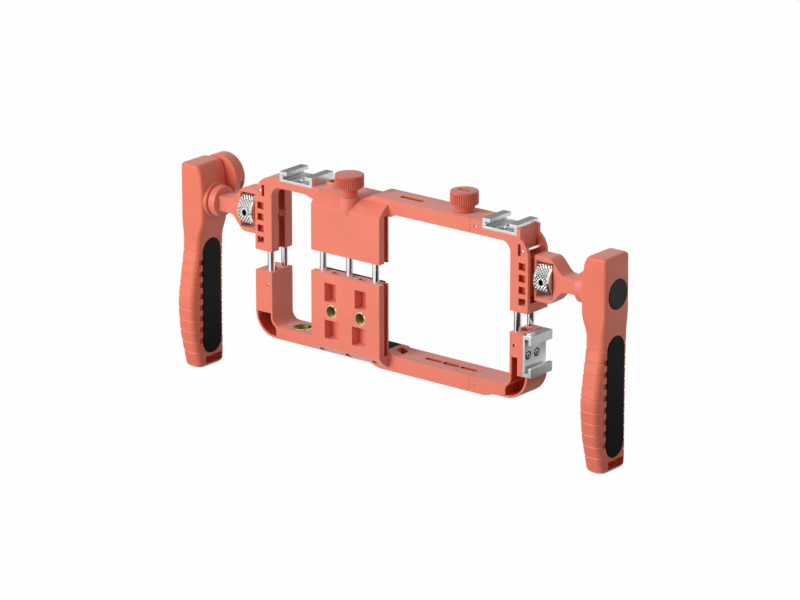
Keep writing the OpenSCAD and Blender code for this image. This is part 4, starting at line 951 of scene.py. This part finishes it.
rows = joined("rows", *[screwRow(screw, screwSeats(screw, "top_shoe_screws", shoe, 2), Vector((0, 0, 0)), 2)
                        for shoe in ("left_top_shoe", "right_top_shoe")])
rows.transform(millimetres)
addPiece("top_shoe_screws.hex", rows, "top_shoe_screws", "top_shoe_screws")
row = screwRow(screw, screwSeats(screw, "side_shoe_screws", "side_shoe", 0), Vector((0, math.pi / 2, 0)), 0)
row.transform(millimetres)
addPiece("side_shoe_screws.hex", row, "side_shoe_screws", "side_shoe_screws")
print("screws ready")

# ribbed grips: rings of a rounded rectangle through stations of
# (height, front, rear, inner, outer, corner radius), with narrow grooves and rounded ends
grip = {"x0": 129.5, "x1": 145.4, "y0": -10.8, "y1": 10.4, "z1": 118.5, "foot": 2.6, "top": 1.8,
        "endSteps": 7, "endShare": 0.2, "footLevels": (1.6, 3.2), "upperLevels": 26, "cornerSteps": 9,
        "ribStart": 10.0, "ribPitch": 6.5, "ribs": 9, "ribDepth": 0.42, "scoop": 0.11, "sideShare": 0.25,
        "ribLevels": (0.0, 0.04, 0.08, 0.11, 0.14, 0.22, 0.36, 0.5, 0.64, 0.78, 0.86, 0.89, 0.92, 0.96),
        "levelGap": 0.005, "axis": (0.3, 97.5), "steps": 72, "sharp": 22.0, "ring": (10.0, 1.5),
        "ringFoot": ((0.6, -1.0), (0.25, 0.15), (0.0, 0.6)), "ringRound": (0.5, 0.48),
        "cap": (8.2, 1.4), "capFit": 0.14, "capReach": 9.0,
        "bore": (2.55, 4.8, 5.4), "boreSpan": (-4.0, 19.0), "boreSteps": 48,
        "strap": (-5.4, 7.8, 2.1, 6.5), "strapRound": 0.9, "strapInside": (4.0, 1.0, 0.1),
        "faces": (0.6, 3.3), "past": (1.0, 3.0), "inlay": (-0.1, 7.5, 15.4, 67.2), "inlayDepth": 1.0,
        "inlayFit": 0.12, "inlaySteps": 24, "notch": (2.8, 3.2, 0.5), "floorFit": (0.999, 0.03),
        "stations": [(0, 0.4, 0, 3.6, -0.7, 3.2), (7.8, -1.3, 0.4, 3.6, -0.7, 3.2),
                     (23.4, -4.7, 0.3, 3.5, -0.7, 3.2), (38.025, -5.7, 0.1, 3.3, -0.6, 3.2),
                     (53.625, -3.6, 0.1, 3.2, -0.6, 3.2), (74.1, -0.2, 0.3, 3.0, -0.6, 2.8),
                     (87.75, 0, 0, 0, 0, 1.8), (103.8, 0, -0.1, 0.2, 0, 1.8),
                     (113.25, 0, -0.4, 1.2, 0, 1.8), (118.5, 0, -0.4, 3.2, 0, 1.8)]}


def slopeAt(rows, i, k):
    if i in (0, len(rows) - 1):
        return 0.0
    before = (rows[i][k] - rows[i - 1][k]) / (rows[i][0] - rows[i - 1][0])
    after = (rows[i + 1][k] - rows[i][k]) / (rows[i + 1][0] - rows[i][0])
    return 0.0 if before * after <= 0 else 2 * before * after / (before + after)


def stationAt(rows, z):
    i = max(k for k in range(len(rows) - 1) if k == 0 or rows[k][0] <= z)
    low, high = rows[i], rows[i + 1]
    span = high[0] - low[0]
    t = min(1.0, max(0.0, (z - low[0]) / span))
    ease = t * t * (3 - 2 * t)
    return [low[k] + (high[k] - low[k]) * ease
            + span * t * (1 - t) * ((1 - t) * slopeAt(rows, i, k) - t * slopeAt(rows, i + 1, k))
            for k in range(1, 6)]


def endInset(rise, radius):
    return 0.0 if rise >= radius else radius - math.sqrt(max(0.0, radius ** 2 - (radius - rise) ** 2))


def ribInset(s, z):                               # scooped grooves between flat ribs
    rib = (z - s["ribStart"]) / s["ribPitch"]
    if not -s["scoop"] <= rib <= s["ribs"] + s["scoop"]:
        return 0.0
    return s["ribDepth"] * max(0.0, 1 - (abs(rib - round(rib)) / s["scoop"]) ** 2)


def gripLevels(s):
    ends = [1 - math.cos(math.pi / 2 * i / s["endSteps"]) for i in range(s["endSteps"] + 1)]
    levels = [s["foot"] * share for share in ends] + [s["foot"] + rise for rise in s["footLevels"]]
    shares = [share - 1 for share in s["ribLevels"] if share > 1 - s["scoop"] - s["levelGap"]]
    for rib in range(s["ribs"]):
        shares += [rib + share for share in s["ribLevels"]]
    shares += [s["ribs"] + share for share in s["ribLevels"] if share < s["scoop"] - s["levelGap"]]
    levels += [s["ribStart"] + s["ribPitch"] * share for share in shares]
    start = s["ribStart"] + s["ribPitch"] * (s["ribs"] + s["scoop"])
    count = s["upperLevels"]
    levels += [start + (s["z1"] - s["top"] - start) * i / count for i in range(count)]
    return levels + [s["z1"] - s["top"] * share for share in reversed(ends)]


def gripMesh(s):
    build = bmesh.new()
    rings = []
    steps = s["cornerSteps"]
    for z in gripLevels(s):
        front, rear, inner, outer, corner = stationAt(s["stations"], z)
        inset = endInset(z, s["foot"]) + endInset(s["z1"] - z, s["top"])
        groove = ribInset(s, z)
        corner += s["endShare"] * inset
        side = inset + s["sideShare"] * groove    # the grooves fade towards the sides
        x0, x1 = s["x0"] + inner + side, s["x1"] + outer - side
        y0, y1 = s["y0"] + front + inset + groove, s["y1"] + rear - inset - groove
        ring = []
        for quarter in range(4):
            cx = x1 - corner if quarter in (0, 3) else x0 + corner
            cy = y1 - corner if quarter < 2 else y0 + corner
            for i in range(steps):
                angle = math.pi / 2 * (quarter + i / (steps - 1))
                spot = (cx + corner * math.cos(angle), cy + corner * math.sin(angle), z)
                ring.append(build.verts.new(spot))
        rings.append(ring)
    for low, high in zip(rings, rings[1:]):
        for i in range(len(low)):
            j = (i + 1) % len(low)
            build.faces.new((low[i], low[j], high[j], high[i]))
    build.faces.new(rings[0])
    build.faces.new(rings[-1])
    return toMesh(build, "grip")


# spans in X that reach under the outer and the inner face
def faceSpans(s, deep):
    outer, inner = s["x1"] - s["faces"][0], s["x0"] + s["faces"][1]
    return (outer - deep, s["x1"] + s["past"][1]), (s["x0"] - s["past"][0], inner + deep)


def inlayTool(s, x0, x1):
    centre, radius, low, high = s["inlay"]
    radius += s["inlayFit"]
    angles = [math.pi * i / s["inlaySteps"] for i in range(s["inlaySteps"] + 1)]
    outline = [(centre + radius * math.cos(angle), high + radius * math.sin(angle)) for angle in angles]
    outline += [(centre - radius * math.cos(angle), low - radius * math.sin(angle)) for angle in angles]
    return prism(outline, x0, x1)


# notches in the inlays' borders, at the grooves between ribs
def notchTools(s):
    centre, radius, _, high = s["inlay"]
    width, tall, deep = s["notch"]
    tools = []
    for groove in range(1, s["ribs"] + 1):
        z = s["ribStart"] + s["ribPitch"] * groove
        if z + tall < high + radius / 2:
            for y in (centre - radius, centre + radius):
                for x0, x1 in faceSpans(s, deep):
                    tools.append(roundBox((x0, y - width, z - tall / 2), (x1, y + width, z + tall / 2), 0))
    return tools


def boreTool(s):                                  # for the bolt and its head
    small, large, deep = s["bore"]
    low, high = s["boreSpan"]
    seat = s["x1"] - deep - s["x0"]
    outline = [(0, low), (small, low), (small, seat), (large, seat), (large, high), (0, high)]
    return place(turned(outline, s["boreSteps"]), s["x0"], *s["axis"], alongX)


def fullGrip(s):
    inlays = [inlayTool(s, *span) for span in faceSpans(s, s["inlayDepth"])]
    radius, depth = s["cap"]
    cap = rod(radius + s["capFit"], 0, s["capReach"], s["steps"])
    place(cap, s["x1"] - depth, *s["axis"], alongX)
    y0, y1, z0, z1 = s["strap"]
    past = s["past"][1]
    strap = roundBox((s["x0"] - past, y0, z0), (s["x1"] + past, y1, z1), s["strapRound"])
    solid = cut(gripMesh(s), joined("tools", *inlays, cap, strap))
    solid = cut(cut(solid, joined("notches", *notchTools(s))), boreTool(s))
    radius, tall = s["ring"]
    edge, size = s["ringRound"]
    foot = [(radius + out, up) for out, up in s["ringFoot"]]
    outline = [(0, foot[0][1])] + foot + shoulder(radius - edge, tall - edge, size) + [(0, tall)]
    ring = place(turned(outline, s["steps"]), s["x0"], *s["axis"], againstX)
    return joined("grip", shade(solid, s["sharp"]), shade(cut(ring, boreTool(s))))


# painted shade inside the strap hole and on the notches' floors
def paintGripShade(mesh, s):
    paint(mesh, gripPlastic).materials.append(paintedShadePlastic)
    inner, outer, slack = s["strapInside"]
    y0, y1, z0, z1 = s["strap"]
    strap = ((s["x0"] + inner, s["x1"] - outer), (y0 - slack, y1 + slack), (z0 - slack, z1 + slack))
    spans = faceSpans(s, s["notch"][2])
    floors = (spans[0][0], spans[1][1])
    flat, gap = s["floorFit"]
    for face in mesh.polygons:
        x, y, z = abs(face.center.x), face.center.y, face.center.z
        onFloor = abs(face.normal.x) > flat and min(abs(x - floor) for floor in floors) < gap
        if onFloor or inBox((x, y, z), strap):
            face.material_index = 1


# the left grip's pod: a drum behind it, cut flush with the grip's outer face, with a seat for the remote
pod = {"out": 135.4, "up": 107.4, "radius": 12.7, "front": 10.1, "rear": 17.9, "round": 0.9, "edge": 0.3,
       "steps": 96, "outside": ((-170.0, 0.0, 60.0), (40.0, 140.0)), "seat": 8.66, "seatDepth": 5.4,
       "seatReach": 9.0, "seatSteps": 72, "slot": ((-135.4, -110.0), (14.7, 16.3), (101.4, 105.9))}


def podMesh(s):
    radius, length, edge = s["radius"], s["rear"] - s["front"], s["edge"]
    outline = [(0, 0), (radius - edge, 0), (radius, edge)]
    outline += shoulder(radius - s["round"], length - s["round"], s["round"]) + [(0, length)]
    drum = place(turned(outline, s["steps"]), -s["out"], s["front"], s["up"], alongY)
    low, high = s["outside"]
    drum = cut(drum, roundBox(low, (-grip["x1"], *high), 0))
    seat = rod(s["seat"], 0, s["seatReach"], s["seatSteps"])
    place(seat, -s["out"], s["rear"] - s["seatDepth"], s["up"], alongY)
    return shade(cut(cut(drum, seat), roundBox(*zip(*s["slot"]), 0)))


rightGrip = fullGrip(grip)
leftGrip = rightGrip.copy()
leftGrip.transform(Matrix.Scale(-1, 4, (1, 0, 0)))
leftGrip.flip_normals()
leftGrip = joined("leftGrip", leftGrip, podMesh(pod))
for node, mesh in (("right_grip", rightGrip), ("left_grip", leftGrip)):
    paintGripShade(mesh, grip)
    mesh.transform(millimetres)
    addPiece(node + ".ribbed", mesh, node, node)
print("grips ready")


# floor, lamps, reflection cards and a white surround
studio = {"floorSize": 6.0, "floorGrey": 0.62, "floorRough": 0.9, "floorShare": 0.985,
          "worldStrength": (0.50, 0.24)}
lamps = {"keyLamp": {"spot": (-0.70, -1.70, 0.72), "aim": (0, 0, 0.06), "size": 1.0, "power": 28.0},
         "fillLamp": {"spot": (1.10, -0.25, 0.90), "aim": (0, 0, 0.06), "size": 1.0, "power": 1.3}}
cards = {"rearCard": {"spot": (-0.71, 0.89, 0.40), "aim": (0, 0, 0.1), "size": (1.3, 0.6), "level": 0.16},
         "frontCard": {"spot": (0.20, -0.065, 0.002), "aim": (0.20, -0.065, -1), "size": (0.34, 0.33),
                       "level": 0.02},
         "leftCard": {"spot": (-0.20, -0.02, 0.002), "aim": (-0.20, -0.02, -1), "size": (0.25, 0.20),
                      "level": 0.08},
         "sideCard": {"spot": (0.28, 0.16, 0.002), "aim": (0.28, 0.16, -1), "size": (0.36, 0.12),
                      "level": 0.62}}


def shownWhite(tree, share):
    path = addNode(tree, "ShaderNodeLightPath")
    seen = calc(tree, "MAXIMUM", path.outputs["Is Camera Ray"],
                calc(tree, "MAXIMUM", path.outputs["Is Glossy Ray"], path.outputs["Is Transmission Ray"]))
    return calc(tree, "MULTIPLY", seen, share)


def mixInto(tree, share, first, second, surface):
    mix = addNode(tree, "ShaderNodeMixShader")
    tree.links.new(share, mix.inputs["Fac"])
    tree.links.new(first, mix.inputs[1])
    tree.links.new(second, mix.inputs[2])
    tree.links.new(mix.outputs["Shader"], surface)


def buildFloor(settings):
    bpy.ops.mesh.primitive_plane_add(size=settings["floorSize"], location=(0, 0, 0))
    floor = bpy.context.object
    floor.name = "studioFloor"
    material, tree, shader = newMaterial("floorWhite", Roughness=settings["floorRough"])
    shader.inputs["Base Color"].default_value = (*[settings["floorGrey"]] * 3, 1.0)
    white = addNode(tree, "ShaderNodeEmission", {"Color": (1, 1, 1, 1), "Strength": 1.0})
    mixInto(tree, shownWhite(tree, settings["floorShare"]), shader.outputs["BSDF"], white.outputs["Emission"],
            tree.nodes["Material Output"].inputs["Surface"])
    floor.data.materials.append(material)


def buildWorld(settings):
    world = bpy.data.worlds.new("studioWorld")
    world.use_nodes = True
    bpy.context.scene.world = world
    tree = world.node_tree
    tree.nodes.clear()
    soft = addNode(tree, "ShaderNodeBackground", {"Color": (1, 1, 1, 1)})
    way = addNode(tree, "ShaderNodeSeparateXYZ")
    tree.links.new(addNode(tree, "ShaderNodeTexCoord").outputs["Generated"], way.inputs["Vector"])
    left, right = settings["worldStrength"]       # the right-hand side is the dimmer one
    level = addNode(tree, "ShaderNodeMapRange", {"From Min": -1.0, "From Max": 1.0,
                                                 "To Min": left, "To Max": right})
    tree.links.new(way.outputs["X"], level.inputs["Value"])
    tree.links.new(level.outputs["Result"], soft.inputs["Strength"])
    white = addNode(tree, "ShaderNodeBackground", {"Color": (1, 1, 1, 1), "Strength": 1.0})
    out = addNode(tree, "ShaderNodeOutputWorld")
    mixInto(tree, shownWhite(tree, 1.0), soft.outputs["Background"], white.outputs["Background"],
            out.inputs["Surface"])


def aimed(spot, aim):
    return (Vector(aim) - Vector(spot)).to_track_quat("-Z", "Y").to_euler()


def addLamp(name, spot, aim, size, power):
    data = bpy.data.lights.new(name, "AREA")
    data.size = size
    data.energy = power
    lamp = link(bpy.data.objects.new(name, data))
    lamp.location = spot
    lamp.rotation_euler = aimed(spot, aim)


# a card that only reflections see
def addCard(name, spot, aim, size, level):
    bpy.ops.mesh.primitive_plane_add(size=1.0)
    card = bpy.context.object
    card.name = name
    card.scale = (*size, 1.0)
    card.location = spot
    card.rotation_euler = aimed(spot, aim)
    material, tree, _ = newMaterial(name)
    grey = addNode(tree, "ShaderNodeEmission", {"Color": (level, level, level, 1), "Strength": 1.0})
    tree.links.new(grey.outputs["Emission"], tree.nodes["Material Output"].inputs["Surface"])
    card.data.materials.append(material)
    for ray in ("camera", "diffuse", "shadow", "transmission", "volume_scatter"):
        setattr(card, "visible_" + ray, False)


buildFloor(studio)
buildWorld(studio)
for name, lamp in lamps.items():
    addLamp(name, **lamp)
for name, card in cards.items():
    addCard(name, **card)
print("studio ready")
